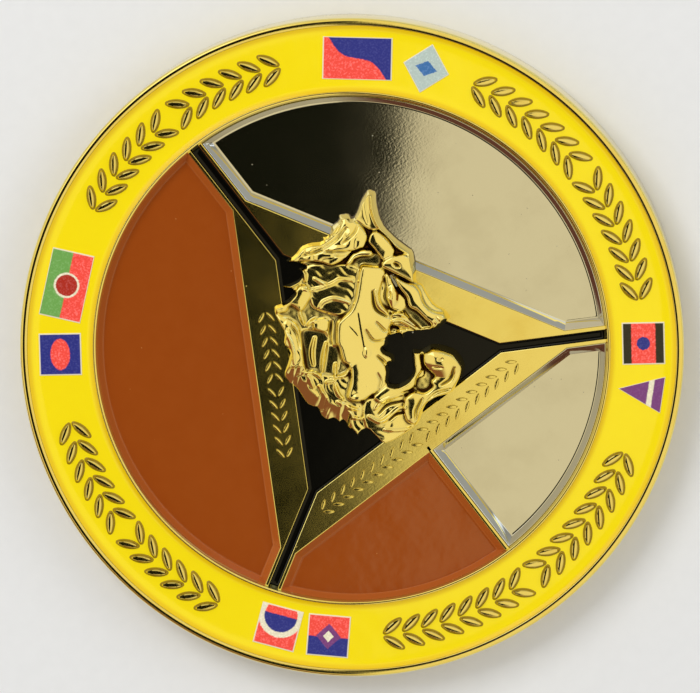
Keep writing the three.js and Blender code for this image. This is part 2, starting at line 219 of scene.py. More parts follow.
class Graph:
    """Adds shader nodes to one node tree and joins them."""

    def __init__(self, tree: bpy.types.NodeTree) -> None:
        """Empties the tree and keeps it."""
        self.tree = tree
        tree.nodes.clear()

    def add(self, kind: str, inputs: dict | None = None, **settings) -> bpy.types.Node:
        """Adds a node.

        Args:
            kind: Blender's identifier of the node, without the ShaderNode prefix.
            inputs: Values or sockets for named or numbered inputs.
            **settings: Properties of the node.

        Returns:
            The new node.
        """
        node = self.tree.nodes.new(f"ShaderNode{kind}")
        for key, value in settings.items():
            setattr(node, key, value)
        for key, value in (inputs or {}).items():
            if isinstance(value, bpy.types.NodeSocket):
                self.tree.links.new(value, node.inputs[key])
            else:
                node.inputs[key].default_value = value
        return node

    def math(self, operation: str, first: Number, second: Number = 0.0, clamp: bool = False) -> Socket:
        """Result of one operation on two numbers or sockets."""
        node = self.add("Math", {0: first, 1: second}, operation=operation, use_clamp=clamp)
        return node.outputs[0]

    def smooth(self, value: Number, low: float, high: float) -> Socket:
        """Smooth step of a value from 0 at low to 1 at high."""
        node = self.add("MapRange", {0: value, 1: low, 2: high}, interpolation_type="SMOOTHSTEP")
        return node.outputs[0]

    def mix(self, factor: Number, first: Tint, second: Tint) -> Socket:
        """Colour between two colours or sockets."""
        node = self.add("Mix", {0: factor, 6: first, 7: second}, data_type="RGBA")
        return node.outputs[2]

    def noise(self, vector: Socket, scale: float, detail: float = 2.0, roughness: float = 0.5) -> Socket:
        """Plain noise, around one half."""
        inputs = {"Vector": vector, "Scale": scale, "Detail": detail, "Roughness": roughness}
        return self.add("TexNoise", inputs).outputs["Fac"]

    def place(self, vector: Socket, scale: tuple = (1, 1, 1), turn: float = 0.0,
              move: tuple = (0, 0, 0)) -> Socket:
        """Coordinates turned about Z by an angle in radians, scaled and moved."""
        inputs = {"Vector": vector, "Rotation": (0, 0, turn), "Scale": scale, "Location": move}
        return self.add("Mapping", inputs).outputs[0]

    def value(self, name: str) -> bpy.types.NodeSocket:
        """Value that the mesh keeps for each point."""
        return self.add("Attribute", attribute_name=name).outputs["Fac"]

    def vector(self, name: str) -> bpy.types.NodeSocket:
        """Vector that the mesh keeps for each point."""
        return self.add("Attribute", attribute_name=name).outputs["Vector"]


def surface(name: str) -> tuple:
    """New material with a main shader.

    Args:
        name: Name of the material.

    Returns:
        The material, its graph, its main shader node and its object coordinates.
    """
    material = bpy.data.materials.new(name)
    material.use_nodes = True
    graph = Graph(material.node_tree)
    shader = graph.add("BsdfPrincipled")
    output = graph.add("OutputMaterial")
    graph.tree.links.new(shader.outputs[0], output.inputs["Surface"])
    place = graph.add("TexCoord").outputs["Object"]
    return material, graph, shader, place


def rgba(red: float, green: float, blue: float) -> tuple:
    """Linear colour from one written as screen values from 0 to 255."""
    def linear(channel: float) -> float:
        """One channel of the sRGB curve, from the screen to linear light."""
        share = channel / 255.0
        return share / 12.92 if share <= 0.04045 else ((share + 0.055) / 1.055) ** 2.4
    return (linear(red), linear(green), linear(blue), 1.0)


@dataclass(frozen=True)
class PlateFinish:
    """Polished metal plate with polishing lines, dust specks, worn patches and painted shade in hollows."""

    name: str
    colour: tuple
    worn: tuple
    # colour of the painted shade in hollows and at the feet of leaves
    recess_shade: tuple = rgba(60, 34, 10)
    roughness: float = 0.1
    waviness: float = 0.0003  # mm of orange peel
    dust: float = 0.08  # size of a dust speck, as a share of the spacing between them
    # whether the piece's values paint shade into its hollows
    has_recess_shade: bool = False

    def make(self) -> bpy.types.Material:
        """Builds the material.

        Returns:
            The finished material.
        """
        material, graph, shader, place = surface(self.name)
        patches = graph.noise(place, 260.0, 3.0, 0.55)
        colour = graph.mix(graph.smooth(patches, 0.42, 0.72), self.colour, self.worn)
        fine = graph.noise(place, 5200.0, 2.0)
        rough = graph.math("MULTIPLY_ADD", patches, self.roughness)
        rough.node.inputs[2].default_value = self.roughness * 0.5
        # painted shade: the piece's values darken the colour and roughen it in hollows and at leaf feet
        if self.has_recess_shade:
            depth = graph.smooth(graph.value("recess_shade"), 0.05, 0.55)
            colour = graph.mix(depth, colour, self.recess_shade)
            extra = graph.math("MULTIPLY", depth, 0.25)
            rough = graph.math("ADD", rough, extra, clamp=True)
        cells = graph.add("TexVoronoi", {"Vector": place, "Scale": 1500.0})
        speck = graph.smooth(cells.outputs["Distance"], self.dust, self.dust * 0.7)
        rare = graph.smooth(graph.add("SeparateColor", {0: cells.outputs["Color"]}).outputs[0], 0.80, 0.83)
        rough = graph.math("ADD", rough, graph.math("MULTIPLY", graph.math("MULTIPLY", speck, rare), 0.5),
                           clamp=True)
        along = graph.place(place, (900.0, 6500.0, 1.0), -HEAD_LEAN)
        lines = graph.noise(along, 1.0, 2.0)
        peel = graph.noise(place, 5000.0, 2.0)
        height = graph.math("ADD", graph.math("MULTIPLY", lines, 0.5), peel)
        height = graph.math("ADD", height, graph.math("MULTIPLY", fine, 0.12))
        bump = graph.add("Bump", {"Strength": 1.0, "Distance": self.waviness * MM, "Height": height})
        shader.inputs["Metallic"].default_value = 1.0
        graph.tree.links.new(colour, shader.inputs["Base Color"])
        graph.tree.links.new(rough, shader.inputs["Roughness"])
        graph.tree.links.new(bump.outputs[0], shader.inputs["Normal"])
        return material


@dataclass(frozen=True)
class EnamelFinish:
    """Soft enamel: glossy, with a band of another colour at its walls and a few dust specks; the band is
    paler thin enamel in the brown and painted shade in the yellow.
    """

    name: str
    colour: tuple
    thin_coat_and_shade: tuple
    speck: tuple
    wall_band_from: float = 0.62  # mm from the wall
    wall_band_to: float = 0.52
    specks: float = 0.03
    roughness: float = 0.08
    unevenness: float = 0.012  # mm
    index: float = 1.5

    def make(self) -> bpy.types.Material:
        """Builds the material.

        Returns:
            The finished material.
        """
        material, graph, shader, place = surface(self.name)
        wall = graph.value("wall")
        uneven = graph.noise(place, 700.0, 3.0, 0.6)
        wobble = graph.math("MULTIPLY", graph.math("SUBTRACT", uneven, 0.5), 0.06)
        # band at the walls: paler thin enamel in the brown, painted shade in the yellow and in the leaf
        # collars
        near = graph.smooth(graph.math("ADD", wall, wobble), self.wall_band_from, self.wall_band_to)
        tint = graph.mix(graph.math("MULTIPLY", uneven, 0.22), self.colour, self.thin_coat_and_shade)
        colour = graph.mix(near, tint, self.thin_coat_and_shade)
        cells = graph.add("TexVoronoi", {"Vector": place, "Scale": 1100.0})
        dust = graph.smooth(cells.outputs["Distance"], self.specks * 1.6, self.specks)
        rare = graph.smooth(graph.add("SeparateColor", {0: cells.outputs["Color"]}).outputs[0], 0.88, 0.9)
        colour = graph.mix(graph.math("MULTIPLY", dust, rare), colour, self.speck)
        slow = graph.noise(place, 420.0, 2.0)
        height = graph.math("ADD", slow, graph.math("MULTIPLY", graph.noise(place, 2400.0, 2.0), 0.1))
        bump = graph.add("Bump", {"Strength": 1.0, "Distance": self.unevenness * MM, "Height": height})
        shader.inputs["Roughness"].default_value = self.roughness
        shader.inputs["IOR"].default_value = self.index
        graph.tree.links.new(colour, shader.inputs["Base Color"])
        graph.tree.links.new(bump.outputs[0], shader.inputs["Normal"])
        return material


# ------------------------------------------------------------------------------ sizes


@dataclass(frozen=True)
class CoinSizes:
    """Radii and levels that the pieces share, in millimetres."""

    rim_width: float = 0.57
    channel_width: float = 5.03
    lip_width: float = 0.2
    channel_depth: float = 0.7
    channel_enamel_drop: float = 0.25
    field_depth: float = 1.1
    field_edge_slope: float = 0.5
    wall_slope: float = 0.8
    plateau_drop: float = 0.3
    black_fill: float = 0.45
    triangle_side: float = 28.8
    frame_width: float = 2.75
    triangle_drop: float = 1.6
    arm_channel: float = 0.72
    arm_wall: float = 0.27
    divider_width: float = 0.32

    @property
    def radius(self) -> float:
        """Outer radius of the coin, from the body's box."""
        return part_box("coin_body")[1].x / MM

    @property
    def rim_top(self) -> float:
        """Top of the rim, from the body's box."""
        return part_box("coin_body")[1].z / MM

    @property
    def channel_outer(self) -> float:
        """Outer radius of the enamel channel."""
        return self.radius - self.rim_width

    @property
    def channel_inner(self) -> float:
        """Inner radius of the enamel channel."""
        return self.channel_outer - self.channel_width

    @property
    def channel_middle(self) -> float:
        """Middle radius of the enamel channel."""
        return (self.channel_outer + self.channel_inner) / 2

    @property
    def field_radius(self) -> float:
        """Radius of the round wall inside the lip, at the rim's level."""
        return self.channel_inner - self.lip_width

    @property
    def plateau(self) -> float:
        """Level of the triangle frame."""
        return self.rim_top - self.plateau_drop

    @property
    def field_floor(self) -> float:
        """Level of the pocket floors."""
        return self.rim_top - self.field_depth

    @property
    def channel_enamel(self) -> float:
        """Level of the yellow enamel."""
        return self.rim_top - self.channel_enamel_drop

    @property
    def frame_outer(self) -> float:
        """Distance from the triangle's centre to the outer edges of its frame."""
        return self.triangle_side / (2 * math.sqrt(3))

    @property
    def frame_inner(self) -> float:
        """Distance from the triangle's centre to the inner edges of its frame."""
        return self.frame_outer - self.frame_width

    @property
    def arm_half(self) -> float:
        """Half the width of an arm, with its channel and both walls."""
        return self.arm_channel / 2 + self.arm_wall


SIZES = CoinSizes()


def meet(first: tuple, second: tuple) -> np.ndarray:
    """Point where two lines cross, each line as the direction of its normal and its distance.

    The lines are n1.p = d1 and n2.p = d2 about the triangle's centre, solved as a pair.

    Args:
        first: Normal in degrees and distance.
        second: Normal in degrees and distance.

    Returns:
        The point in the coin's frame.
    """
    normals = np.array([[math.cos(math.radians(a)), math.sin(math.radians(a))] for a, _ in (first, second)])
    crossing = np.linalg.solve(normals, np.array([first[1], second[1]]))
    return crossing + np.array([0.0, -SIZES.triangle_drop])


def meet_round(line: tuple, radius: float, towards: float) -> np.ndarray:
    """Point where a line leaves a circle about the coin's centre, on the side of a direction.

    With q the line's nearest point to the centre, the point is q + t * sqrt(r^2 - |q|^2).

    Args:
        line: Normal in degrees and distance about the triangle's centre.
        radius: Radius of the circle.
        towards: Direction in degrees that the point lies in.

    Returns:
        The point in the coin's frame.
    """
    normal = np.array([math.cos(math.radians(line[0])), math.sin(math.radians(line[0]))])
    distance = line[1] + normal @ np.array([0.0, -SIZES.triangle_drop])
    along = np.array([-normal[1], normal[0]])
    if along @ np.array([math.cos(math.radians(towards)), math.sin(math.radians(towards))]) < 0:
        along = -along
    return normal * distance + along * math.sqrt(radius**2 - distance**2)


def between(start: np.ndarray, end: np.ndarray, steps: int) -> np.ndarray:
    """Points from start towards end, start + (end - start) * k / steps, without the last one."""
    share = np.linspace(0.0, 1.0, steps, endpoint=False)[:, None]
    return start + (end - start) * share


@dataclass(frozen=True)
class Field:
    """One field of the design, bounded by straight walls in order and by the round wall."""

    walls: tuple  # (normal in degrees, distance), from one arm or divider to the next
    ends: tuple  # directions in degrees in which the first and the last wall reach the lip
    side_steps: int = 30
    arc_steps: int = 90

    def loop(self, inset: float, radius: float) -> np.ndarray:
        """Boundary of the field with its straight walls moved inwards, and its round wall given.

        Args:
            inset: Distance that the straight walls are moved.
            radius: Radius of the round wall.

        Returns:
            Points (n by 2); their number doesn't depend on the inset.
        """
        lines = [(normal, distance + inset) for normal, distance in self.walls]
        corners = [meet_round(lines[0], radius, self.ends[0])]
        corners += [meet(a, b) for a, b in zip(lines, lines[1:])]
        corners += [meet_round(lines[-1], radius, self.ends[1])]
        sides = [between(a, b, self.side_steps) for a, b in zip(corners, corners[1:])]
        start, end = (math.atan2(corner[1], corner[0]) for corner in (corners[-1], corners[0]))
        sweep = (end - start) % (2 * math.pi)
        sweep = sweep if sweep < math.pi * 1.2 else sweep - 2 * math.pi
        angle = start + sweep * np.linspace(0.0, 1.0, self.arc_steps, endpoint=False)
        return np.concatenate(sides + [radius * np.column_stack([np.cos(angle), np.sin(angle)])])

    def at(self, height: float, extra: float) -> np.ndarray:
        """Boundary at a level of the sloped walls, kept a further distance inside them."""
        depth = SIZES.plateau - height
        radius = SIZES.field_radius - (SIZES.rim_top - height) * SIZES.field_edge_slope - extra
        return level(self.loop(depth * SIZES.wall_slope + extra, radius), height)


FRAME_OUTER = SIZES.frame_outer
ARM_HALF = SIZES.arm_half
DIVIDER_HALF = SIZES.divider_width / 2
LEFT_FIELD = Field(((180, ARM_HALF), (150, FRAME_OUTER), (120, ARM_HALF)), (90, 210))
RIGHT_FIELD = Field(((60, ARM_HALF), (30, FRAME_OUTER), (0, ARM_HALF)), (330, 90))
LOWER_LEFT_FIELD = Field(((300, ARM_HALF), (270, FRAME_OUTER), (180, DIVIDER_HALF)), (210, 270))
LOWER_RIGHT_FIELD = Field(((0, DIVIDER_HALF), (270, FRAME_OUTER), (240, ARM_HALF)), (270, 330))


# ------------------------------------------------------------------------------ metal body


@dataclass
class CoinBody:
    """Gilt body: turned blank with its lip and reverse, divider, and triangle frame."""

    steps_round: int = 720
    corner: float = 0.25
    reverse_rim: float = 1.1
    reverse_depth: float = 0.45
    reverse_ring: float = 0.8

    def blank_profile(self) -> np.ndarray:
        """Radius and height from the middle of the reverse to the middle of the obverse floor.

        Returns:
            Points of the profile (n by 2).
        """
        s = SIZES
        core = s.radius
        top, small = s.rim_top, 0.08
        rim_inner = s.radius - self.reverse_rim
        ring_in, ring_out = s.channel_inner - self.reverse_ring, s.channel_inner
        cone = lambda height: s.field_radius - (top - height) * s.field_edge_slope
        points = [(0.0, self.reverse_depth), (ring_in * 0.5, self.reverse_depth)]
        points += [(ring_in - 0.35, self.reverse_depth), (ring_in - 0.3, self.reverse_depth - 0.02)]
        points += [(ring_in - 0.03, 0.15), (ring_in + 0.04, 0.12), (ring_out - 0.04, 0.12)]
        points += [(ring_out + 0.03, 0.15), (ring_out + 0.3, self.reverse_depth - 0.02)]
        points += [(ring_out + 0.36, self.reverse_depth), (rim_inner - 0.36, self.reverse_depth)]
        points += [(rim_inner - 0.3, self.reverse_depth - 0.02), (rim_inner - 0.02, 0.03)]
        points += [(rim_inner + 0.06, 0.0)]
        points += arc((core - self.corner, self.corner), self.corner, -90, 0, 6)
        points += arc((core - self.corner, top - self.corner), self.corner, 0, 82, 8)
        points += arc((s.channel_outer + small, top - small), small, 98, 180, 5)
        points += [(s.channel_outer, s.rim_top - s.channel_depth)]
        points += [(s.channel_inner, s.rim_top - s.channel_depth)]
        points += arc((s.channel_inner - 0.05, top - 0.05), 0.05, 0, 90, 4)
        points += [(s.field_radius + 0.03, top), (s.field_radius, top - 0.015)]
        points += [(cone(top - 0.05), top - 0.05), (cone(s.plateau), s.plateau)]
        points += [(cone(s.field_floor + 0.05), s.field_floor + 0.05)]
        points += [(cone(s.field_floor) - 0.05, s.field_floor), (8.0, s.field_floor)]
        points += [(0.0, s.field_floor)]
        return np.array(points)

    def blank(self) -> Shell:
        """Turned blank, its profile carried round the axis."""
        return revolve(self.blank_profile(), self.steps_round)

    def branch(self, side: float) -> Shell:
        """One side of the triangle frame with a wall of each arm beside it.

        A profile across the metal, from the black channel to the field, is carried along four
        stations: lip, corner, corner, lip. Each station is where the shifted lines meet.

        Args:
            side: Direction in degrees of the frame strip.

        Returns:
            The closed strip of metal, sunk into the floor and into the lip.
        """
        s = SIZES
        first, last = side - 60, side + 60
        reach = s.field_radius + 0.02
        edge = 0.05
        buried = s.field_floor - 0.05
        slope = lambda height: (s.plateau - height) * s.wall_slope
        profile = [("black", -0.01, buried), ("black", -0.01, s.plateau - edge)]
        profile += [("black", -edge * 0.35, s.plateau - edge * 0.3), ("black", -edge, s.plateau)]
        profile += [("field", -edge, s.plateau), ("field", 0.0, s.plateau - edge * 0.4)]
        profile += [("field", slope(s.plateau - edge), s.plateau - edge)]
        profile += [("field", slope(s.field_floor + 0.04), s.field_floor + 0.04)]
        profile += [("field", slope(s.field_floor) + 0.04, s.field_floor), ("field", slope(buried), buried)]
        rows = []
        for kind, shift, height in profile:
            arm = s.arm_half + shift if kind == "field" else s.arm_channel / 2 - shift
            strip = FRAME_OUTER + shift if kind == "field" else s.frame_inner - shift
            lines = [(side + 30, arm), (side, strip), (side - 30, arm)]
            radius = reach - (s.rim_top - height) * s.field_edge_slope
            row = [meet_round(lines[0], radius, first), meet(lines[0], lines[1])]
            row += [meet(lines[1], lines[2]), meet_round(lines[2], radius, last)]
            rows.append(level(np.array(row), height))
        rows = np.stack(rows)  # profile by station
        shell = stack([rows[:, station] for station in range(4)])
        return shell

    def divider(self) -> Shell:
        """Wall between the two lower fields, one cross-section carried from the frame to the lip.

        Returns:
            Closed shell of the wall.
        """
        s = SIZES
        top, floor = s.plateau, s.field_floor - 0.05
        half = DIVIDER_HALF
        foot = half + (top - floor) * s.wall_slope
        section = [(-foot, floor), (-half - 0.02, top - 0.05), (-half + 0.02, top - 0.01)]
        section += [(-half + 0.06, top), (half - 0.06, top), (half - 0.02, top - 0.01)]
        section += [(half + 0.02, top - 0.05), (foot, floor)]
        start = -s.triangle_drop - FRAME_OUTER + 0.4
        loops = []
        for share in (0.0, 1.0):
            loop = [(x, start if share == 0 else self.lip_reach(x, z), z) for x, z in section]
            loops.append(np.array(loop))
        return stack(loops)

    @staticmethod
    def lip_reach(x: float, z: float) -> float:
        """Place on the lower round wall at a distance from the middle line and at a level."""
        radius = SIZES.field_radius + 0.02 - (SIZES.rim_top - z) * SIZES.field_edge_slope
        return -math.sqrt(radius**2 - x**2)

    def build(self, gilt: bpy.types.Material) -> None:
        """Makes the body's pieces."""
        make_piece("coin_blank", self.blank(), gilt, "coin_body", crease=28)
        for name, side in (("left", 150), ("base", 270), ("right", 30)):
            make_piece(f"frame_{name}", self.branch(side), gilt, "coin_body", crease=20)
        make_piece("field_divider", self.divider(), gilt, "coin_body", crease=20)


# ------------------------------------------------------------------------------ laurel sprigs


@dataclass(frozen=True)
class Sprig:
    """Rows of leaf pairs that point to the middle of the row."""

    leaf_length: float
    leaf_width: float
    pitch: float
    gap: float
    lean: float = math.radians(36)

    def places(self, length: float) -> np.ndarray:
        """Distance along the row, side and heading of every leaf.

        Args:
            length: Length of the whole row.

        Returns:
            Rows of (distance, side of the line, 1 or -1 for the half).
        """
        first = self.leaf_length * math.cos(self.lean) + self.leaf_width / 2
        pairs = max(int((length / 2 - first) / self.pitch), 0) + 1
        step = first + np.arange(pairs) * self.pitch
        half, side, distance = np.meshgrid([-1.0, 1.0], [-1.0, 1.0], step, indexing="ij")
        return np.column_stack([(half * distance).ravel(), side.ravel(), half.ravel()])


@dataclass
class LeafShape:
    """Leaf as a closed tube with a crowned top and steep sides, narrowing to both tips.

    Half width at u is width / 2 * sin(pi * u)^0.75 + spread * sin(pi * u)^0.3, and the section's
    height falls from the ridge to the foot.
    """

    length: float
    width: float
    foot: float
    ridge: float
    spread: float = 0.0  # extra half width of the foot
    stations: int = 17

    def template(self) -> Shell:
        """Points of one leaf with its base at the origin, along +X.

        Returns:
            Closed shell of the leaf.
        """
        u = np.linspace(0.0, 1.0, self.stations)
        half = self.width / 2 * np.sin(np.pi * u) ** 0.75 + self.spread * np.sin(np.pi * u) ** 0.3
        rise = self.ridge - self.foot
        side = np.array([1.0, 1.0, 0.93, 0.84, 0.72, 0.4])
        share = np.array([-0.5, 0.0, 0.5, 0.84, 0.94, 0.985])
        across = np.concatenate([-side, [0.0], side[::-1]])
        height = np.concatenate([share, [1.0], share[::-1]]) * rise
        x = (-self.spread + (self.length + 2 * self.spread) * u)[:, None] * np.ones(len(across))
        y = half[:, None] * across
        taper = np.clip(np.sin(np.pi * u) * 3.0, 0.0, 1.0)[:, None]
        z = self.foot + np.where(height > 0, height * taper, height)
        points = np.stack([x, y, z], axis=-1)
        return stack([points[index] for index in range(self.stations)])

    def copies(self, origins: np.ndarray, headings: np.ndarray) -> Shell:
        """Copies of the leaf, each turned to its heading and moved to its origin.

        Each point keeps a painted shade of 6 * (1 - h), no more than 0.3, with h its share of the height, so
        the foot is darkest.

        Args:
            origins: Places of the leaf bases (n by 2).
            headings: Directions of the leaves in radians.

        Returns:
            One shell with every copy.
        """
        one = self.template()
        cosine, sine = np.cos(headings)[:, None], np.sin(headings)[:, None]
        x, y, z = one.points.T
        points = np.stack([x * cosine - y * sine + origins[:, :1],
                           x * sine + y * cosine + origins[:, 1:2],
                           np.broadcast_to(z, (len(origins), len(z)))], axis=-1)
        offset = np.arange(len(origins)) * len(one.points)
        quads = (one.faces[0][None] + offset[:, None, None]).reshape(-1, 4)
        caps = np.array(one.faces[1])
        ends = (caps[None] + offset[:, None, None]).reshape(-1, caps.shape[1])
        level_share = (z - self.foot) / (self.ridge - self.foot)
        # painted shade towards the foot of each leaf
        shade = np.clip((1.0 - level_share) * 6.0, 0.0, 0.30)
        return Shell(points.reshape(-1, 3), [quads, ends], {"recess_shade": np.tile(shade, len(origins))})


@dataclass
class Ornament:
    """Raised laurel sprigs around the channel and, smaller, on two strips of the frame."""

    ring: Sprig = Sprig(1.8, 0.56, 1.5, 0.24)
    strip: Sprig = Sprig(0.95, 0.3, 0.95, 0.14)
    arcs: tuple = ((90.0, 53.0), (0.0, 57.6), (270.0, 68.4), (181.0, 52.8))
    strips: tuple = ((150.0, 11.6, 0.6), (270.0, 19.7, 0.0))
    strip_rise: float = 0.15

    def ring_places(self) -> tuple:
        """Origins and headings of the leaves in the channel, bent round the coin's centre.

        Returns:
            Origins (n by 2) and headings in radians.
        """
        origins, headings = [], []
        for middle, span in self.arcs:
            rows = self.ring.places(math.radians(span) * SIZES.channel_middle)
            angle = math.radians(middle) - rows[:, 0] / SIZES.channel_middle
            along = angle - np.pi / 2 + np.where(rows[:, 2] > 0, np.pi, 0.0)
            point = SIZES.channel_middle * np.column_stack([np.cos(angle), np.sin(angle)])
            side = along + rows[:, 1] * np.pi / 2
            origins.append(point + self.ring.gap / 2 * np.column_stack([np.cos(side), np.sin(side)]))
            headings.append(along + rows[:, 1] * self.ring.lean)
        return np.concatenate(origins), np.concatenate(headings)

    def strip_places(self) -> tuple:
        """Origins and headings of the small leaves on the frame's strips.

        Returns:
            Origins (n by 2) and headings in radians.
        """
        middle = (SIZES.frame_outer + SIZES.frame_inner) / 2
        origins, headings = [], []
        for direction, length, shift in self.strips:
            rows = self.strip.places(length)
            normal = math.radians(direction)
            heading = normal + np.pi / 2
            centre = middle * np.array([math.cos(normal), math.sin(normal)]) - [0, SIZES.triangle_drop]
            point = centre + np.outer(rows[:, 0] + shift, [math.cos(heading), math.sin(heading)])
            along = heading + np.where(rows[:, 2] > 0, np.pi, 0.0)
            side = along + rows[:, 1] * np.pi / 2
            origins.append(point + self.strip.gap / 2 * np.column_stack([np.cos(side), np.sin(side)]))
            headings.append(along + rows[:, 1] * self.strip.lean)
        return np.concatenate(origins), np.concatenate(headings)

    def build(self, gilt: bpy.types.Material, enamel: bpy.types.Material) -> None:
        """Makes the leaves and the enamel that climbs their feet.

        Args:
            gilt: Gilt with painted shade towards the foot of each leaf.
            enamel: Darker enamel of the collars, a painted shadow round the foot of each leaf.
        """
        origins, headings = self.ring_places()
        sprig = self.ring
        foot, top = SIZES.channel_enamel - 0.05, SIZES.rim_top
        leaf = LeafShape(sprig.leaf_length, sprig.leaf_width, foot, top)
        make_piece("ring_sprigs", leaf.copies(origins, headings), gilt, "coin_body")
        collar = LeafShape(sprig.leaf_length, sprig.leaf_width, SIZES.channel_enamel - 0.03,
                           SIZES.channel_enamel + 0.07, spread=0.11)
        shell = collar.copies(origins, headings)
        # painted shadow: the collars take the darker enamel round each leaf's foot
        shell.values["wall"] = np.full(len(shell.points), 0.22)
        make_piece("sprig_shadow_collars", shell, enamel, "yellow_enamel_ring", crease=80)
        origins, headings = self.strip_places()
        sprig = self.strip
        leaf = LeafShape(sprig.leaf_length, sprig.leaf_width, SIZES.plateau - 0.02,
                         SIZES.plateau + self.strip_rise)
        make_piece("strip_sprigs", leaf.copies(origins, headings), gilt, "coin_body")


# ------------------------------------------------------------------------------ enamel and trays


@dataclass
class Fills:
    """Enamel in the ring, the brown fields and the black triangle, and the nickel trays."""

    brown_level: float = 3.04
    coat: float = 0.03  # enamel left on the sloped walls
    tray_wall: float = 0.14

    def yellow_ring(self) -> Shell:
        """Ring of enamel that climbs both walls: height = level + climb * exp(-(d / reach)^1.3).

        Returns:
            Closed shell of the ring.
        """
        s = SIZES
        inner, outer = s.channel_inner + 0.01, s.channel_outer - 0.01
        share = np.linspace(0.0, 1.0, 61)
        radius = inner + (outer - inner) * (share - np.sin(2 * np.pi * share) / (2 * np.pi) * 0.85)
        to_inner, to_outer = radius - inner, outer - radius
        height = s.channel_enamel + 0.17 * np.exp(-((to_outer / 0.3) ** 1.2))
        height += 0.17 * np.exp(-((to_inner / 0.26) ** 1.2))
        top = np.column_stack([radius, height])[::-1]
        low = s.rim_top - s.channel_depth
        profile = np.concatenate([[[inner, low], [outer, low]], top, [[inner, low]]])
        shell = revolve(profile, 720)
        wall = np.concatenate([[0, 0], np.minimum(to_inner, to_outer)[::-1], [0]])
        shell.values["wall"] = np.repeat(wall, 720)
        return shell

    def brown(self, field_area: Field) -> Shell:
        """Enamel over a field's floor and up its sloped walls to the plateau's edge.

        At a distance t from the edge the surface is the smooth maximum of the coated wall,
        plateau - t / slope + coat, and of the floor's level.

        Args:
            field_area: The field that is filled.

        Returns:
            Closed shell with the distance from the wall's edge.
        """
        s = SIZES
        inset = np.concatenate([np.linspace(0.02, 0.8, 22), [1.0, 1.3]])
        wall = s.plateau - inset / s.wall_slope + self.coat
        soft = 0.035
        height = soft * np.logaddexp(wall / soft, self.brown_level / soft)
        height = np.minimum(height, s.plateau - 0.01)
        edge = s.field_radius - s.plateau_drop * s.field_edge_slope
        radius_slope = s.field_edge_slope / s.wall_slope
        loops, walls = [], []
        start = inset[0]
        first = level(field_area.loop(start, edge - start), s.field_floor + 0.02)
        loops.append(first)
        walls.append(0.0)
        for t, z in zip(inset, height):
            loops.append(level(field_area.loop(t, edge - t * radius_slope), z))
            walls.append(t)
        shell = stack(loops)
        shell.values["wall"] = np.repeat(walls, len(first))
        return shell

    def black(self) -> Shell:
        """Enamel in the triangle and its arms, climbing the walls a little.

        Returns:
            Closed shell of the enamel.
        """
        s = SIZES
        top = s.field_floor + s.black_fill
        insets = [0.0, 0.0, 0.03, 0.07, 0.11, 0.16, 0.21, 0.26]
        heights = [s.field_floor, top + 0.1, top + 0.06, top + 0.03, top + 0.012, top + 0.003, top, top]
        loops = []
        for inset, height in zip(insets, heights):
            corners = []
            for side in (30, 150, 270):
                lines = [(side + 30, s.arm_channel / 2 - inset), (side, s.frame_inner - inset),
                         (side - 30, s.arm_channel / 2 - inset)]
                radius = s.field_radius - (s.rim_top - top) * s.field_edge_slope - inset
                corners += [meet_round(lines[0], radius, side - 60), meet(lines[0], lines[1])]
                corners += [meet(lines[1], lines[2]), meet_round(lines[2], radius, side + 60)]
            loops.append(level(np.array(corners), height))
        shell = stack(loops)
        shell.values["wall"] = np.full(len(shell.points), 2.0)
        return shell

    def tray(self, field_area: Field) -> Shell:
        """Nickel tray: outside of the wall, rounded top, inside of the wall, fillet and floor.

        Args:
            field_area: Field that the tray lies in.

        Returns:
            Closed shell of the tray.
        """
        s = SIZES
        low, top, wall = s.field_floor, s.plateau - 0.01, self.tray_wall
        sheet = low + 0.1
        loops = [field_area.at(low + 0.01, 0.02), field_area.at(top - 0.02, 0.02)]
        loops += [field_area.at(top, 0.045), field_area.at(top, 0.075), field_area.at(top - 0.03, 0.09)]
        loops += [field_area.at(sheet + 0.06, wall * 0.7), field_area.at(sheet + 0.02, wall * 0.7 + 0.01)]
        floor = SIZES.plateau - sheet
        radius = s.field_radius - (s.rim_top - sheet) * s.field_edge_slope
        for extra in (wall + 0.02, wall + 0.1, wall + 0.2):
            outline = field_area.loop(floor * s.wall_slope + extra, radius - extra)
            loops.append(level(outline, sheet))
        return stack(loops)

    def build(self, yellow: bpy.types.Material, brown: bpy.types.Material,
              black: bpy.types.Material, nickel: bpy.types.Material) -> None:
        """Makes every fill.

        Args:
            yellow: Enamel of the ring.
            brown: Enamel of the two brown fields.
            black: Enamel of the triangle.
            nickel: Finish of the trays.
        """
        make_piece("yellow_enamel", self.yellow_ring(), yellow, "yellow_enamel_ring")
        make_piece("brown_enamel_left_fill", self.brown(LEFT_FIELD), brown, "brown_enamel_left",
                   crease=60)
        make_piece("brown_enamel_lower_fill", self.brown(LOWER_LEFT_FIELD), brown, "brown_enamel_lower",
                   crease=60)
        make_piece("black_enamel", self.black(), black, "black_enamel_triangle", crease=60)
        make_piece("mirror_right", self.tray(RIGHT_FIELD), nickel, "mirror_tray_right",
                   crease=20)
        make_piece("mirror_lower", self.tray(LOWER_RIGHT_FIELD), nickel, "mirror_tray_lower",
                   crease=20)


# ------------------------------------------------------------------------------ printed flags


class Figure(Enum):
    """Figures that a flag can carry."""

    HALF = "half"  # everything past a line
    WAVE = "wave"  # everything past a wavy line
    DISC = "disc"
    LOZENGE = "lozenge"
    BAR = "bar"
    ARC = "arc"


RED = rgba(252, 76, 62)
DARK_RED = rgba(178, 40, 24)
NAVY = rgba(40, 46, 130)
MID_BLUE = rgba(58, 112, 170)
PALE_GREY = rgba(184, 200, 190)
CREAM = rgba(238, 228, 196)
PURPLE = rgba(122, 60, 122)
LEAF_GREEN = rgba(112, 168, 80)
INK_BLACK = rgba(40, 36, 22)


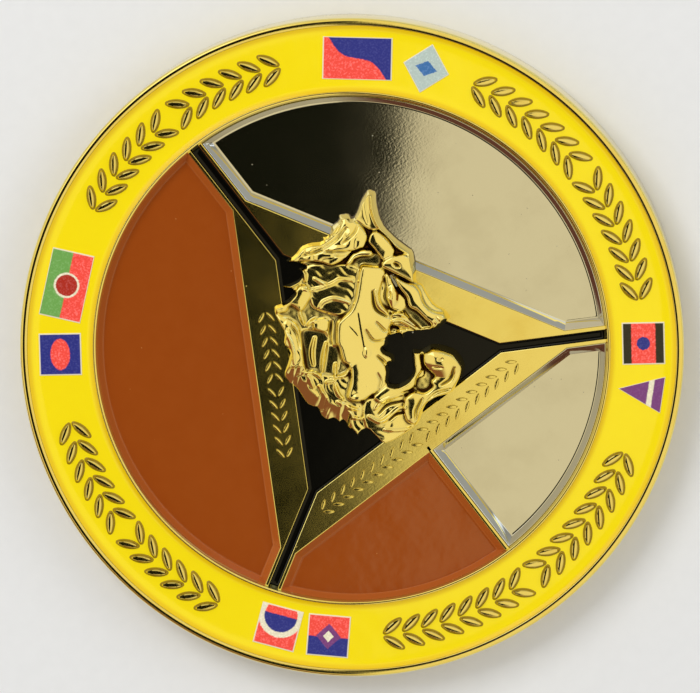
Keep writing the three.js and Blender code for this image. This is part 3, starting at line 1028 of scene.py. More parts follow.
@dataclass(frozen=True)
class Motif:
    """One figure in one colour, in the flag's own millimetres."""

    figure: Figure
    colour: tuple
    centre: tuple = (0.0, 0.0)
    size: tuple = (1.0, 1.0)
    turn: float = 0.0  # degrees

    def mask(self, graph: Graph, place: Socket) -> Socket:
        """Share of the figure's colour at each point.

        With (u, v) turned and centred, the signed depths are: u for HALF, u + h * sin(v / w) for
        WAVE, 1 - |(u / w, v / h)| for DISC, 1 - |u| / w - |v| / h for LOZENGE,
        min(w - |u|, h - |v|) for BAR, and h - ||(u, v)| - w| for ARC.

        Args:
            graph: Graph of the material.
            place: Socket with the flag's coordinates.

        Returns:
            Socket from 0 outside to 1 inside.
        """
        shifted = graph.add("VectorMath", {0: place, 1: (*self.centre, 0.0)}, operation="SUBTRACT")
        turned_place = graph.place(shifted.outputs[0], turn=-math.radians(self.turn))
        u, v, _ = graph.add("SeparateXYZ", {0: turned_place}).outputs
        wide, high = self.size
        soft = 0.05
        if self.figure is Figure.HALF:
            depth = u
        elif self.figure is Figure.WAVE:
            swing = graph.math("SINE", graph.math("DIVIDE", v, wide))
            depth = graph.math("ADD", u, graph.math("MULTIPLY", swing, high))
        elif self.figure is Figure.LOZENGE:
            reach = graph.math("ADD", graph.math("DIVIDE", graph.math("ABSOLUTE", u), wide),
                               graph.math("DIVIDE", graph.math("ABSOLUTE", v), high))
            depth = graph.math("SUBTRACT", 1.0, reach)
        elif self.figure is Figure.BAR:
            depth = graph.math("MINIMUM", graph.math("SUBTRACT", wide, graph.math("ABSOLUTE", u)),
                               graph.math("SUBTRACT", high, graph.math("ABSOLUTE", v)))
        else:
            scale = (1.0 / wide, 1.0 / high, 0.0) if self.figure is Figure.DISC else (1.0, 1.0, 0.0)
            scaled = graph.add("VectorMath", {0: turned_place, 1: scale}, operation="MULTIPLY")
            radius = graph.add("VectorMath", {0: scaled.outputs[0]}, operation="LENGTH").outputs["Value"]
            if self.figure is Figure.DISC:
                depth = graph.math("SUBTRACT", 1.0, radius)
            else:
                off = graph.math("ABSOLUTE", graph.math("SUBTRACT", radius, wide))
                depth = graph.math("SUBTRACT", high, off)
        return graph.smooth(depth, -soft, soft)


@dataclass(frozen=True)
class InkFinish:
    """Printed ink over a pale underprint, with the grain of a halftone screen."""

    name: str
    ground: tuple
    motifs: tuple = ()
    roughness: float = 0.24

    def make(self) -> bpy.types.Material:
        """Builds the material.

        Returns:
            The finished material.
        """
        material, graph, shader, place = surface(self.name)
        flag_place = graph.vector("flag")
        frayed = graph.add("TexNoise", {"Vector": place, "Scale": 6500.0}).outputs["Color"]
        fray = graph.add("VectorMath", {0: frayed, 1: (0.5, 0.5, 0.5)}, operation="SUBTRACT")
        fray = graph.add("VectorMath", {0: fray.outputs[0], "Scale": 0.12}, operation="SCALE")
        moved = graph.add("VectorMath", {0: flag_place, 1: fray.outputs[0]}, operation="ADD").outputs[0]
        colour = graph.mix(0.0, self.ground, self.ground)
        for motif in self.motifs:
            colour = graph.mix(motif.mask(graph, moved), colour, motif.colour)
        grain = graph.noise(place, 7000.0, 2.0)
        lighter = graph.add("HueSaturation", {"Value": 1.22, "Saturation": 0.9, "Color": colour}).outputs[0]
        colour = graph.mix(graph.smooth(grain, 0.45, 0.75), colour, lighter)
        colour = graph.mix(graph.smooth(graph.value("margin"), 0.13, 0.05), colour, CREAM)
        bump = graph.add("Bump", {"Strength": 1.0, "Distance": 0.006 * MM, "Height": grain})
        shader.inputs["Roughness"].default_value = self.roughness
        graph.tree.links.new(colour, shader.inputs["Base Color"])
        graph.tree.links.new(bump.outputs[0], shader.inputs["Normal"])
        return material


@dataclass(frozen=True)
class Flag:
    """One printed plate on the yellow enamel."""

    node: str
    direction: float  # degrees round the coin
    outline: tuple  # corners, along the ring and outwards
    ink: InkFinish
    thickness: float = 0.06

    def shell(self) -> Shell:
        """Plate with rounded edges: its outline drawn in, loop by loop, over the enamel.

        Returns:
            Closed shell of the plate.
        """
        corners = np.array(self.outline)
        sides = [between(a, b, 12) for a, b in zip(corners, np.roll(corners, -1, axis=0))]
        flat = np.concatenate(sides)
        middle = corners.mean(axis=0)
        size = np.abs(corners - middle).max()
        base = SIZES.channel_enamel
        rows = [(0.0, base - 0.01), (0.0, base + self.thickness * 0.6)]
        rows += [(0.03, base + self.thickness), (0.15, base + self.thickness)]
        loops, flag_places, margins = [], [], []
        outward = math.radians(self.direction)
        for inset, height in rows:
            drawn = middle + (flat - middle) * (1 - inset / size)
            across = np.column_stack([drawn[:, 1], -drawn[:, 0]])
            spot = turned(across, outward) + SIZES.channel_middle * np.array(
                [math.cos(outward), math.sin(outward)])
            loops.append(level(spot, height))
            flag_places.append(drawn)
            margins.append(np.full(len(drawn), inset))
        shell = stack(loops)
        shell.values["flag"] = np.concatenate(flag_places)
        shell.values["margin"] = np.concatenate(margins)
        return shell


def box_outline(width: float, height: float) -> tuple:
    """Corners of a rectangle about its middle."""
    x, y = width / 2, height / 2
    return ((-x, -y), (x, -y), (x, y), (-x, y))


@dataclass(frozen=True)
class FlagRow:
    """The eight flags round the channel, each with a pattern of its own."""

    side: float = 3.25
    long_side: float = 5.3
    diamond_width: float = 3.6
    diamond_height: float = 3.85
    pennant_base: float = 2.85
    pennant_length: float = 3.45

    def flags(self) -> list:
        """The flags with their places, outlines and inks.

        Returns:
            The eight flags.
        """
        square, long = box_outline(self.side, self.side), box_outline(self.long_side, self.side)
        wide, high = self.diamond_width / 2, self.diamond_height / 2
        diamond = ((0, -high), (wide, 0), (0, high), (-wide, 0))
        base, tip = self.pennant_base / 2, self.pennant_length / 2
        pennant = ((-base, tip), (0, -tip), (base, tip))
        half, wave, disc, lozenge = Figure.HALF, Figure.WAVE, Figure.DISC, Figure.LOZENGE
        bar, bow = Figure.BAR, Figure.ARC
        return [
            Flag("flag_wave_long", 50.9, long, InkFinish("ink_wave_long", RED, (
                Motif(wave, NAVY, (0, 0), (0.75, 0.35), 58),))),
            Flag("flag_pale_diamond", 37.3, diamond, InkFinish("ink_pale_diamond", PALE_GREY, (
                Motif(lozenge, MID_BLUE, (0, 0), (0.85, 0.6)),))),
            Flag("flag_black_edged_square", -36.3, square, InkFinish("ink_black_edged", RED, (
                Motif(half, INK_BLACK, (0, 0.92), turn=90), Motif(half, INK_BLACK, (0, -0.92), turn=-90),
                Motif(disc, NAVY, (0, 0), (0.5, 0.5))))),
            Flag("flag_purple_pennant", -45.9, pennant, InkFinish("ink_purple_pennant", PURPLE, (
                Motif(bar, CREAM, (0, 0.75), (2.0, 0.2)),))),
            Flag("flag_lozenge_square", 227.6, square, InkFinish("ink_lozenge_square", RED, (
                Motif(half, NAVY, (0, 0.1), turn=90), Motif(lozenge, PURPLE, (0, 0.05), (0.95, 1.0)),
                Motif(lozenge, CREAM, (0, 0.05), (0.42, 0.45))))),
            Flag("flag_arc_square", 217.5, square, InkFinish("ink_arc_square", RED, (
                Motif(disc, NAVY, (0, -0.9), (1.5, 1.5)), Motif(half, RED, (0, -0.95), turn=-90),
                Motif(bow, CREAM, (0, -0.9), (1.5, 0.22))))),
            Flag("flag_blue_square", 143.5, square, InkFinish("ink_blue_square", NAVY, (
                Motif(disc, RED, (0, 0), (1.2, 0.75)),))),
            Flag("flag_green_long", 129.7, long, InkFinish("ink_green_long", LEAF_GREEN, (
                Motif(half, RED, (0, 0.0), turn=-90), Motif(disc, CREAM, (0, 0), (0.98, 0.98)),
                Motif(disc, DARK_RED, (0, 0), (0.82, 0.82))))),
        ]

    def build(self) -> None:
        """Makes every flag."""
        for flag in self.flags():
            make_piece(f"{flag.node}_print", flag.shell(), flag.ink.make(), flag.node,
                       crease=50)


# ------------------------------------------------------------------------------ wolf head


def outline_depth(x: np.ndarray, y: np.ndarray, outline: np.ndarray) -> np.ndarray:
    """Signed distance to a closed outline: smallest distance to a side, negative outside.

    Args:
        x: Places across, one for each point.
        y: Places upwards, one for each point.
        outline: Corners of the outline (n by 2).

    Returns:
        Distance for each point.
    """
    best = np.full(x.shape, np.inf)
    inside = np.zeros(x.shape, bool)
    for (ax, ay), (bx, by) in zip(outline, np.roll(outline, -1, axis=0)):
        dx, dy = bx - ax, by - ay
        share = np.clip(((x - ax) * dx + (y - ay) * dy) / max(dx * dx + dy * dy, 1e-12), 0.0, 1.0)
        best = np.minimum(best, np.hypot(x - ax - share * dx, y - ay - share * dy))
        if ay != by:
            inside ^= ((ay > y) != (by > y)) & (x < ax + (bx - ax) * (y - ay) / (by - ay))
    return np.where(inside, best, -best)


def softened(outline: tuple, passes: int = 2) -> np.ndarray:
    """Outline with its corners cut: each side keeps its points at a fifth and four fifths.

    Args:
        outline: Corners of the outline.
        passes: Number of times that the corners are cut.

    Returns:
        Points of the softened outline (n by 2).
    """
    points = np.array(outline, float)
    for _ in range(passes):
        after = np.roll(points, -1, axis=0)
        points = np.stack([0.8 * points + 0.2 * after, 0.2 * points + 0.8 * after], axis=1).reshape(-1, 2)
    return points


def smooth_step(value: np.ndarray) -> np.ndarray:
    """t^2 * (3 - 2 * t), with t kept between 0 and 1."""
    t = np.clip(value, 0.0, 1.0)
    return t * t * (3 - 2 * t)


def blurred(values: np.ndarray, reach: int) -> np.ndarray:
    """Gaussian blur along both axes, with a standard deviation of half the reach in cells.

    Args:
        values: Grid of values.
        reach: Cells taken in on each side.

    Returns:
        The blurred grid.
    """
    weight = np.exp(-0.5 * (np.arange(-reach, reach + 1) / (reach / 2)) ** 2)
    weight /= weight.sum()
    for axis in (0, 1):
        shape = [(reach, reach) if index == axis else (0, 0) for index in (0, 1)]
        padded = np.pad(values, shape, mode="edge")
        size = values.shape[axis]
        values = sum(w * np.take(padded, np.arange(k, k + size), axis=axis)
                     for k, w in enumerate(weight))
    return values


@dataclass(frozen=True)
class Plate:
    """A facet of the relief: level, slopes, doming and hair within an outline."""

    level: float
    outline: tuple
    slope: tuple = (0.0, 0.0)
    crown: float = 0.0
    reach: float = 0.5
    edge: float = 0.1
    hair: tuple = (0.0, 0.3, 0.0)  # heading in degrees, spacing, height


@dataclass(frozen=True)
class Stroke:
    """A raised lock of hair or, with a negative height, a groove along a smooth line."""

    line: tuple
    width: float = 0.2
    height: float = 0.18


@dataclass(frozen=True)
class Bump:
    """A domed oval, height * (1 - q)^power with q the squared share of its radii."""

    centre: tuple
    radii: tuple
    height: float
    power: float = 1.0


SILHOUETTE = (
    (1.4, 12.3), (1.9, 12.1), (1.98, 11.2), (2.2, 10.2), (2.6, 9.4), (3.4, 8.6), (4.2, 8.0),
    (4.75, 7.6), (4.95, 6.6), (5.1, 6.1), (5.1, 5.3), (5.5, 5.2), (6.0, 4.3), (6.5, 3.6), (7.3, 3.2),
    (7.8, 2.5), (7.2, 1.95), (6.6, 1.45), (5.8, 1.4), (5.3, 1.35), (4.2, 1.25), (4.05, 0.7),
    (3.9, 0.75), (3.6, 1.2), (2.9, 0.95), (2.85, 0.3), (2.5, 0.05), (3.35, -0.4), (3.4, -1.0),
    (2.9, -1.1), (3.0, -1.7), (2.9, -2.5), (3.5, -2.65), (4.2, -2.3), (4.7, -1.7), (4.6, -0.9),
    (4.55, 0.1), (5.3, 0.05), (5.6, 0.2), (6.1, 0.5), (7.0, 0.45), (8.0, 0.1), (8.5, -0.5),
    (8.8, -1.2), (8.6, -2.1), (8.1, -2.9), (7.8, -3.4), (6.6, -3.8), (6.0, -4.2), (5.6, -4.8),
    (5.3, -5.7), (4.6, -6.3), (3.2, -7.2), (2.4, -7.4), (1.7, -6.7), (1.2, -6.2), (0.8, -6.4),
    (0.5, -6.95), (0.1, -6.3), (-0.3, -6.2), (-0.6, -5.5), (-0.9, -5.8), (-1.3, -5.4),
    (-1.9, -5.6), (-2.4, -5.2), (-2.6, -4.6), (-3.0, -4.55), (-3.5, -4.3), (-4.3, -3.0),
    (-4.8, -2.9), (-5.3, -2.0), (-4.9, -0.9), (-4.8, -0.2), (-5.3, 0.3), (-5.2, 1.2),
    (-5.6, 1.9), (-6.0, 2.7), (-6.0, 3.4), (-5.0, 3.7), (-4.3, 4.5), (-5.8, 4.75), (-4.8, 5.0),
    (-4.0, 5.4), (-3.8, 5.8), (-4.2, 6.2), (-3.4, 6.4), (-5.3, 6.65), (-4.4, 7.3), (-3.9, 8.0),
    (-3.2, 8.3), (-2.2, 8.4), (-2.4, 8.7), (-1.8, 8.8), (-1.6, 9.4), (-1.0, 9.9), (-1.0, 10.3),
    (-0.3, 10.45), (0.1, 10.1), (0.4, 10.6), (0.65, 11.4), (1.1, 12.15),
)

PLATES = (
    # broad outer slope at the lower left, then the mane up to the crest
    Plate(0.36, ((-5.3, -2.0), (-4.8, -2.9), (-4.3, -3.0), (-3.5, -4.3), (-3.0, -4.55), (-2.6, -4.6),
                 (-2.4, -5.2), (-1.9, -5.6), (-1.3, -5.4), (-0.9, -5.8), (-0.6, -5.5), (-0.3, -6.2),
                 (0.1, -6.3), (0.5, -6.95), (0.8, -6.4), (1.4, -6.2), (0.9, -5.5), (0.1, -5.4),
                 (-0.6, -5.1), (-1.3, -4.7), (-2.0, -4.2), (-2.5, -3.4), (-3.0, -3.1), (-3.6, -2.6),
                 (-4.4, -2.0)), (0.0, 0.0), hair=(128, 0.55, 0.03)),
    Plate(0.42, ((-4.2, -1.9), (-3.5, -1.6), (-2.9, -1.6), (-2.0, -2.0), (-1.1, -2.0), (-0.3, -1.6),
                 (0, -2.6), (-0.3, -3.6), (0.1, -4.0), (0.9, -4.1), (0.8, -5.3), (0.1, -5.2),
                 (-0.1, -4.95), (-0.9, -4.9), (-1.2, -4.5), (-1.8, -4.2), (-2.1, -3.5),
                 (-2.4, -2.8), (-2.9, -3.0), (-3.3, -2.6)), (0.03, 0.0), 0.05, hair=(118, 0.5, 0.022)),
    Plate(0.6, ((-6, 2.8), (-5.3, 2.6), (-4.4, 2.2), (-3.95, 1.7), (-3.75, 0.3), (-3.5, -1.4),
                (-3.6, -1.9), (-4.2, -1.9), (-5.2, -2.0), (-4.9, -0.9), (-4.8, -0.2), (-5.3, 0.3),
                (-5.2, 1.2), (-5.6, 1.9), (-6.0, 2.4)), (0.12, -0.06), 0.16, 0.4, hair=(84, 0.7, 0.03)),
    Plate(0.2, ((-3.9, 1.6), (-1.9, 1.4), (-1.5, 0.3), (-0.9, 0.2), (-0.9, -0.9), (-1.1, -2.0),
                (-2.0, -1.9), (-3.5, -1.6), (-3.7, 0.0)), (0.03, 0.0)),
    Plate(0.55, ((-2.9, 2.3), (-1.7, 2.5), (-1.7, 1.5), (-2.2, 1.4), (-2.9, 1.6)), (-0.05, 0), 0.06),
    Plate(0.48, ((-3.4, 6.6), (0.8, 6.6), (0.5, 5), (0.1, 3.2), (-0.9, 2.6), (-2, 2.9), (-3, 3.3),
                 (-3.2, 4.4), (-3.5, 5.4)), (0.03, -0.02), 0.03, hair=(158, 0.6, 0.02)),
    Plate(0.65, ((-6, 3.4), (-5.0, 3.7), (-4.3, 4.5), (-3.9, 5.0), (-3.3, 5.0), (-3.0, 4.3),
                 (-3.3, 3.6), (-3.8, 2.9), (-4.2, 3.2), (-4.7, 3.5), (-4.9, 2.9), (-5.9, 2.8)),
          (-0.05, 0.02), 0.14, 0.4, hair=(150, 0.8, 0.025)),
    Plate(0.75, ((-5.3, 6.7), (-4.4, 7.3), (-3.9, 8.0), (-3.2, 8.3), (-2.2, 8.35), (-2.4, 8.7),
                 (-1.8, 8.8), (-1.6, 9.4), (-1.0, 9.9), (-1.0, 10.3), (-0.3, 10.45), (0.1, 10.1),
                 (0.9, 9.5), (1.3, 8.9), (1.2, 8.3), (1.0, 7.9), (0.1, 7.6), (-0.6, 6.9),
                 (-1.5, 6.5), (-2.2, 6.75), (-3, 6.85)), (0.07, -0.12), 0.2, 0.5, hair=(38, 0.8, 0.06)),
    Plate(0.8, ((-0.5, 6.55), (0, 6.6), (0.4, 7.1), (0.8, 7.25), (1.5, 7.25), (1.75, 7.45),
                (1.6, 7.75), (1.0, 7.8), (0.3, 7.7), (-0.1, 7.2)), (0.12, -0.2), 0.15, 0.3),
    Plate(0.35, ((0.3, 7.1), (1.6, 7.2), (1.9, 7.6), (2.25, 7.2), (2.3, 6.6), (1.4, 6.5),
                 (0.9, 6.7), (0.5, 6.6), (0.1, 6.75)), (0.03, 0.0)),
    # brow, ear and temple
    Plate(0.78, ((1.25, 8.3), (1.5, 9.1), (2.1, 9.2), (2.6, 8.8), (3.1, 8.2), (3.4, 7.7), (3.2, 7.2),
                 (2.4, 6.9), (2.2, 7.3), (1.8, 7.7)), (-0.05, 0.02), 0.1),
    Plate(0.6, ((0.1, 10.1), (0.4, 10.6), (0.65, 11.4), (1.1, 12.15), (1.5, 12.3), (1.9, 12.1),
                (1.98, 11.2), (2.2, 10.2), (2.6, 9.4), (2.1, 9.25), (1.5, 9.2), (1.1, 9.4),
                (0.6, 9.8)), (0.1, 0.0), 0.1, 0.4),
    Plate(0.7, ((2.2, 10.2), (2.6, 9.4), (3.4, 8.6), (4.2, 8.0), (4.75, 7.6), (4.9, 7.2), (4.3, 7.4),
                (3.5, 7.8), (3.0, 8.4), (2.5, 9.0), (2.1, 9.25)), (-0.2, -0.2), 0.08),
    Plate(0.85, ((2.4, 6.9), (3.2, 7.3), (4.3, 7.5), (4.8, 7.3), (4.95, 6.6), (5.1, 6.1), (5.1, 5.3),
                 (4.6, 5.25), (3.8, 5.7), (3.2, 6.0), (2.6, 6.3), (2.3, 6.5)), (-0.05, -0.02), 0.22, 0.6),
    # face
    Plate(0.8, ((0.75, 6.55), (1.3, 6.5), (2.45, 6.4), (2.7, 6.0), (2.5, 5.4), (2.35, 4.6),
                 (2.5, 3.6), (2.9, 2.9), (3.1, 2.2), (3.0, 1.9), (2.85, 1.3), (2.9, 0.95),
                 (2.85, 0.3), (2.5, 0.05), (3.35, -0.4), (3.4, -1.0), (2.9, -1.1), (3.0, -1.7),
                 (2.9, -2.5), (2.2, -3.1), (1.5, -3.5), (0.9, -3.9), (0.1, -3.95), (-0.3, -3.6),
                 (0, -2.6), (0, -1.2), (-0.6, -0.9), (-0.85, 0.2), (-1.1, 0.5), (-1.1, 2.1),
                 (-0.6, 2.6), (0, 3.1), (0.35, 4.0), (0.5, 5.0)), (-0.08, 0.0), 0.06, 0.3, edge=0.3),
    Plate(0.5, ((5.0, 5.0), (5.5, 5.2), (6.0, 4.3), (6.5, 3.6), (7.3, 3.2), (7.8, 2.5), (7.4, 2.9),
                (6.4, 3.0), (5.8, 3.4), (5.5, 3.9), (5.3, 4.6)), (-0.2, -0.2), edge=0.3),
    Plate(0.55, ((2.75, 6.0), (3.2, 5.7), (3.5, 4.9), (4.1, 4.2), (4.3, 3.6), (4.0, 3.1), (3.3, 2.8),
                 (2.9, 3.0), (2.5, 3.8), (2.4, 4.6), (2.55, 5.3)), (-0.04, 0.0)),
    Plate(1.0, ((3.3, 5.8), (3.9, 5.5), (4.6, 5.2), (4.95, 5.05), (5.3, 4.6), (5.5, 3.9), (5.8, 3.4),
                (6.4, 3.0), (7.4, 2.9), (7.8, 2.4), (7.2, 1.95), (6.6, 1.45), (5.8, 1.4), (5.3, 1.6),
                (6.1, 1.75), (6.15, 2.1), (5.7, 2.4), (5.0, 3.1), (4.5, 3.3), (4.3, 3.7), (4.1, 4.3),
                (3.6, 4.9)), (-0.045, -0.01), 0.16, 0.35, edge=0.22),
    Plate(0.35, ((4.5, 3.25), (5.0, 3.1), (5.7, 2.4), (6.2, 1.95), (6.1, 1.7), (5.4, 1.75),
                 (4.9, 2.1), (4.3, 2.6), (4.1, 3.1)), (0.02, 0.0)),
    # muzzle and teeth
    Plate(0.65, ((3.0, 2.9), (4.1, 3.1), (4.3, 2.6), (4.9, 2.1), (5.4, 1.6), (5.3, 1.35), (4.2, 1.25),
                 (3.6, 1.9), (3.1, 1.95)), (-0.04, 0.0), 0.08),
    Plate(0.1, ((2.95, 1.25), (3.5, 1.3), (3.6, 1.85), (3.0, 1.9)), edge=0.08),
    Plate(0.6, ((3.6, 1.9), (3.7, 1.2), (3.9, 0.75), (4.05, 0.7), (4.1, 1.3), (4.3, 1.7)),
          (-0.1, 0.0), 0.15, 0.2),
    # lower jaw, chin and throat
    Plate(0.7, ((2.2, -3.1), (2.9, -2.5), (3.5, -2.65), (4.2, -2.3), (4.7, -1.7), (4.6, -0.9),
                (4.55, 0.1), (5.3, 0.05), (5.3, -0.5), (5.5, -1.4), (5.0, -2.1), (5.0, -2.6),
                (4.6, -3.0), (4.0, -3.2), (3.0, -3.6), (2.2, -4.1), (1.6, -3.6)), (-0.04, 0.0), 0.14, 0.4),
    Plate(0.5, ((1.0, -4.0), (1.6, -3.6), (2.2, -4.1), (3.0, -3.6), (4.2, -3.2), (4.1, -4.5),
                (4.4, -5.6), (5.2, -5.8), (4.6, -6.3), (3.2, -7.2), (2.4, -7.4), (1.6, -6.7),
                (1.2, -6.1), (0.9, -5.2), (0.9, -4.6)), (-0.03, 0.03), 0.1, hair=(20, 0.8, 0.02)),
    Plate(0.8, ((5.6, 0.2), (6.1, 0.5), (7.0, 0.45), (8.0, 0.1), (8.5, -0.5), (8.8, -1.2), (8.6, -2.1),
                (8.1, -2.9), (7.8, -3.4), (6.6, -3.8), (6.0, -4.2), (5.6, -4.8), (5.3, -5.7),
                (4.3, -5.6), (4.0, -4.6), (4.1, -3.6), (4.8, -3.1), (5.6, -3.3), (6.2, -2.8),
                (6.0, -2.4), (6.5, -2.0), (6.1, -1.6), (5.5, -1.0)), (-0.06, 0.02), 0.24, 0.6),
    Plate(0.15, ((5.4, -1.0), (6.0, -1.6), (6.4, -1.9), (6.1, -2.4), (6.3, -2.8), (5.6, -3.3),
                 (4.9, -2.9), (5.0, -2.2), (5.6, -2.0), (5.6, -1.5)), edge=0.12),
)

BUMPS = (
    Bump((3.2, 4.2), (0.45, 0.9), 0.3),  # eyeball
    Bump((7.1, -0.75), (1.55, 1.25), 0.26),  # chin
    Bump((1.3, -0.1), (0.35, 0.5), 0.12),
    Bump((6.9, 2.35), (0.6, 0.45), 0.12),  # tip of the nose
    Bump((0.75, -3.7), (0.7, 0.45), 0.14),
    Bump((1.4, -2.1), (1.35, 1.7), 0.05),  # jaw muscle
    Bump((5.6, 3.9), (0.7, 1.3), 0.03),  # bridge of the nose
)

STROKES = (
    # crest and brow
    Stroke(((-1.9, 7.6), (0.1, 7.6), (0.8, 7.9)), 0.2, -0.24),
    Stroke(((-1.2, 7.35), (0, 7.4)), 0.16, -0.2),
    Stroke(((1.2, 8.3), (1.6, 7.9), (1.9, 7.5)), 0.16, -0.3),
    Stroke(((-3.6, 7.3), (-2.4, 7.7), (-1.2, 8.5), (-0.4, 9.4)), 0.2, -0.2),
    Stroke(((-2.2, 8.1), (-1.2, 9.0), (-0.7, 9.9)), 0.16, -0.18),
    Stroke(((-0.6, 8.3), (0.2, 9.0), (0.5, 9.6)), 0.16, -0.2),
    # ear
    Stroke(((1.5, 12.1), (1.6, 11), (1.95, 10), (2.6, 9.2), (3.2, 8.6), (3.8, 8.0), (4.6, 7.6)), 0.24, 0.26),
    Stroke(((1.0, 11.6), (1.1, 10.7), (1.3, 9.8)), 0.2, -0.08),
    Stroke(((2.1, 9.2), (2.5, 8.9), (3.0, 8.4), (3.4, 7.8)), 0.15, -0.34),
    Stroke(((4.1, 7.5), (4.4, 7.3)), 0.14, -0.2),
    Stroke(((3.3, 6.75), (3.7, 6.5)), 0.2, -0.3),
    Stroke(((3.8, 5.6), (4.4, 5.3)), 0.14, -0.26),
    # eye and cheek
    Stroke(((2.9, 5.9), (3.6, 4.75), (4.2, 4.1), (4.3, 3.6)), 0.18, -0.34),
    Stroke(((2.5, 5.7), (2.65, 4.9), (2.6, 4.1), (2.9, 3.3), (3.5, 3.0)), 0.16, -0.22),
    Stroke(((1.65, 4.6), (1.75, 3.6), (2.05, 3.05), (2.8, 2.6)), 0.18, -0.28),
    Stroke(((1.95, 4.7), (2.05, 3.8), (2.3, 3.3), (2.85, 2.9)), 0.16, 0.12),
    Stroke(((2.4, 5.3), (2.25, 4.5), (2.35, 3.8), (2.65, 3.35), (3.15, 3.1)), 0.13, -0.22),
    Stroke(((3.0, 4.5), (2.95, 4.1)), 0.13, -0.22),
    Stroke(((0.5, 2.9), (0.7, 1.5), (1.0, 0)), 0.16, -0.03),
    Stroke(((-0.2, 1.9), (0.6, 1.0)), 0.14, -0.03),
    Stroke(((1.1, 1.6), (1.7, 0.8), (2.8, 0.9)), 0.13, -0.2),
    Stroke(((1.9, 2.2), (2.5, 1.6), (2.8, 1.5)), 0.14, -0.2),
    Stroke(((2.0, -0.4), (2.6, -1), (2.95, -1.8)), 0.16, -0.28),
    Stroke(((2.0, -1.7), (2.25, -2.3), (2.1, -3.0)), 0.13, -0.16),
    # muzzle
    Stroke(((3.1, 2.75), (3.6, 2.85), (4.4, 2.6)), 0.18, 0.2),
    Stroke(((3.1, 2.25), (3.9, 2.3), (4.9, 1.75)), 0.18, 0.2),
    Stroke(((3.2, 1.75), (4.2, 1.7), (5.1, 1.5)), 0.14, -0.2),
    Stroke(((6.5, 2.6), (6.9, 2.1), (6.8, 1.8)), 0.13, -0.2),
    # chin and throat
    Stroke(((6.7, -0.6), (7.0, -0.55)), 0.12, -0.16),
    Stroke(((6.3, -1.2), (7.0, -1.25)), 0.12, -0.16),
    Stroke(((7.9, -1.2), (7.6, -2.1), (6.9, -2.6)), 0.2, -0.26),
    Stroke(((7.6, -2.9), (6.6, -3.2), (5.9, -3.8)), 0.18, -0.24),
    Stroke(((5.4, -3.7), (5.0, -4.6), (5.0, -5.4)), 0.2, -0.26),
    Stroke(((1.9, -4.5), (2.4, -3.95), (3.4, -3.5), (4.4, -3.2)), 0.22, 0.24),
    Stroke(((1.4, -5.1), (2.2, -5.5), (2.9, -5.15), (3.6, -4.5), (4.1, -4.35)), 0.22, 0.26),
    Stroke(((2.6, -6.1), (3.6, -6.15), (5.0, -5.95)), 0.2, 0.2),
    Stroke(((2.1, -4.9), (2.8, -4.2), (3.9, -3.9)), 0.18, -0.26),
    Stroke(((2.9, -5.4), (3.4, -4.95), (4.0, -4.8)), 0.16, -0.24),
    # mane locks
    Stroke(((-2.8, 5.5), (-1.9, 5.0), (-1.3, 5.2), (-0.8, 5.45), (0.2, 5.35)), 0.16, 0.17),
    Stroke(((-1.9, 4.9), (-2.6, 4.7), (-3.2, 4.6), (-3.6, 4.7)), 0.15, 0.17),
    Stroke(((-2.4, 3.3), (-2.1, 3.7), (-1.5, 3.95), (-0.9, 3.9), (-0.1, 3.65)), 0.17, 0.18),
    Stroke(((-5.8, 4.75), (-4.8, 4.9), (-4.0, 5.2)), 0.22, 0.4),
    Stroke(((-4.2, 6.2), (-3.6, 5.9), (-3.5, 5.3)), 0.2, 0.34),
    Stroke(((-1.9, 0.5), (-2.1, -0.6), (-2.2, -1.7)), 0.2, 0.36),
    Stroke(((-1.2, -1.1), (-1.2, -2.2)), 0.18, 0.3),
    Stroke(((-2.8, 0.9), (-3.0, -0.2), (-2.9, -1.2)), 0.18, 0.26),
    Stroke(((-3.9, 2.9), (-3.6, 2.0)), 0.22, 0.3),
    Stroke(((-3.3, 1.9), (-2.7, 2.4)), 0.2, 0.26),
    Stroke(((-1.5, 2.2), (-1.6, 1.0), (-1.5, 0.4)), 0.16, -0.22),
    Stroke(((-5.3, 1.6), (-4.7, 0.9), (-4.4, 0.0), (-4.3, -1.0)), 0.22, 0.2),
    Stroke(((-4.6, 1.9), (-4.1, 1.1), (-3.9, 0.1)), 0.16, -0.26),
    Stroke(((-3.5, -1.8), (-2.9, -1.7), (-2.3, -2.1)), 0.2, 0.26),
    Stroke(((-1.9, -2.5), (-1.3, -2.4)), 0.18, 0.24),
    Stroke(((-1.1, -2.1), (-0.4, -1.9), (0, -1.1)), 0.18, 0.26),
    Stroke(((-1.2, -2.6), (-1.0, -3.3), (-0.6, -3.8)), 0.2, 0.28),
    Stroke(((-2.4, -2.8), (-2.1, -3.5), (-1.8, -4.2), (-1.2, -4.5), (-0.9, -4.9), (-0.1, -4.95),
            (0.1, -5.2), (0.8, -5.3)), 0.24, 0.36),
    Stroke(((-3.3, -2.0), (-3.1, -2.5), (-2.9, -2.9)), 0.2, 0.3),
    Stroke(((-4.4, -2.3), (-3.9, -3.0), (-3.4, -3.7)), 0.22, 0.28),
    Stroke(((-3.2, -3.2), (-2.7, -4.0), (-2.0, -4.8)), 0.2, 0.26),
    Stroke(((-1.0, -4.0), (-0.2, -4.4), (0.6, -4.6)), 0.18, 0.22),
)


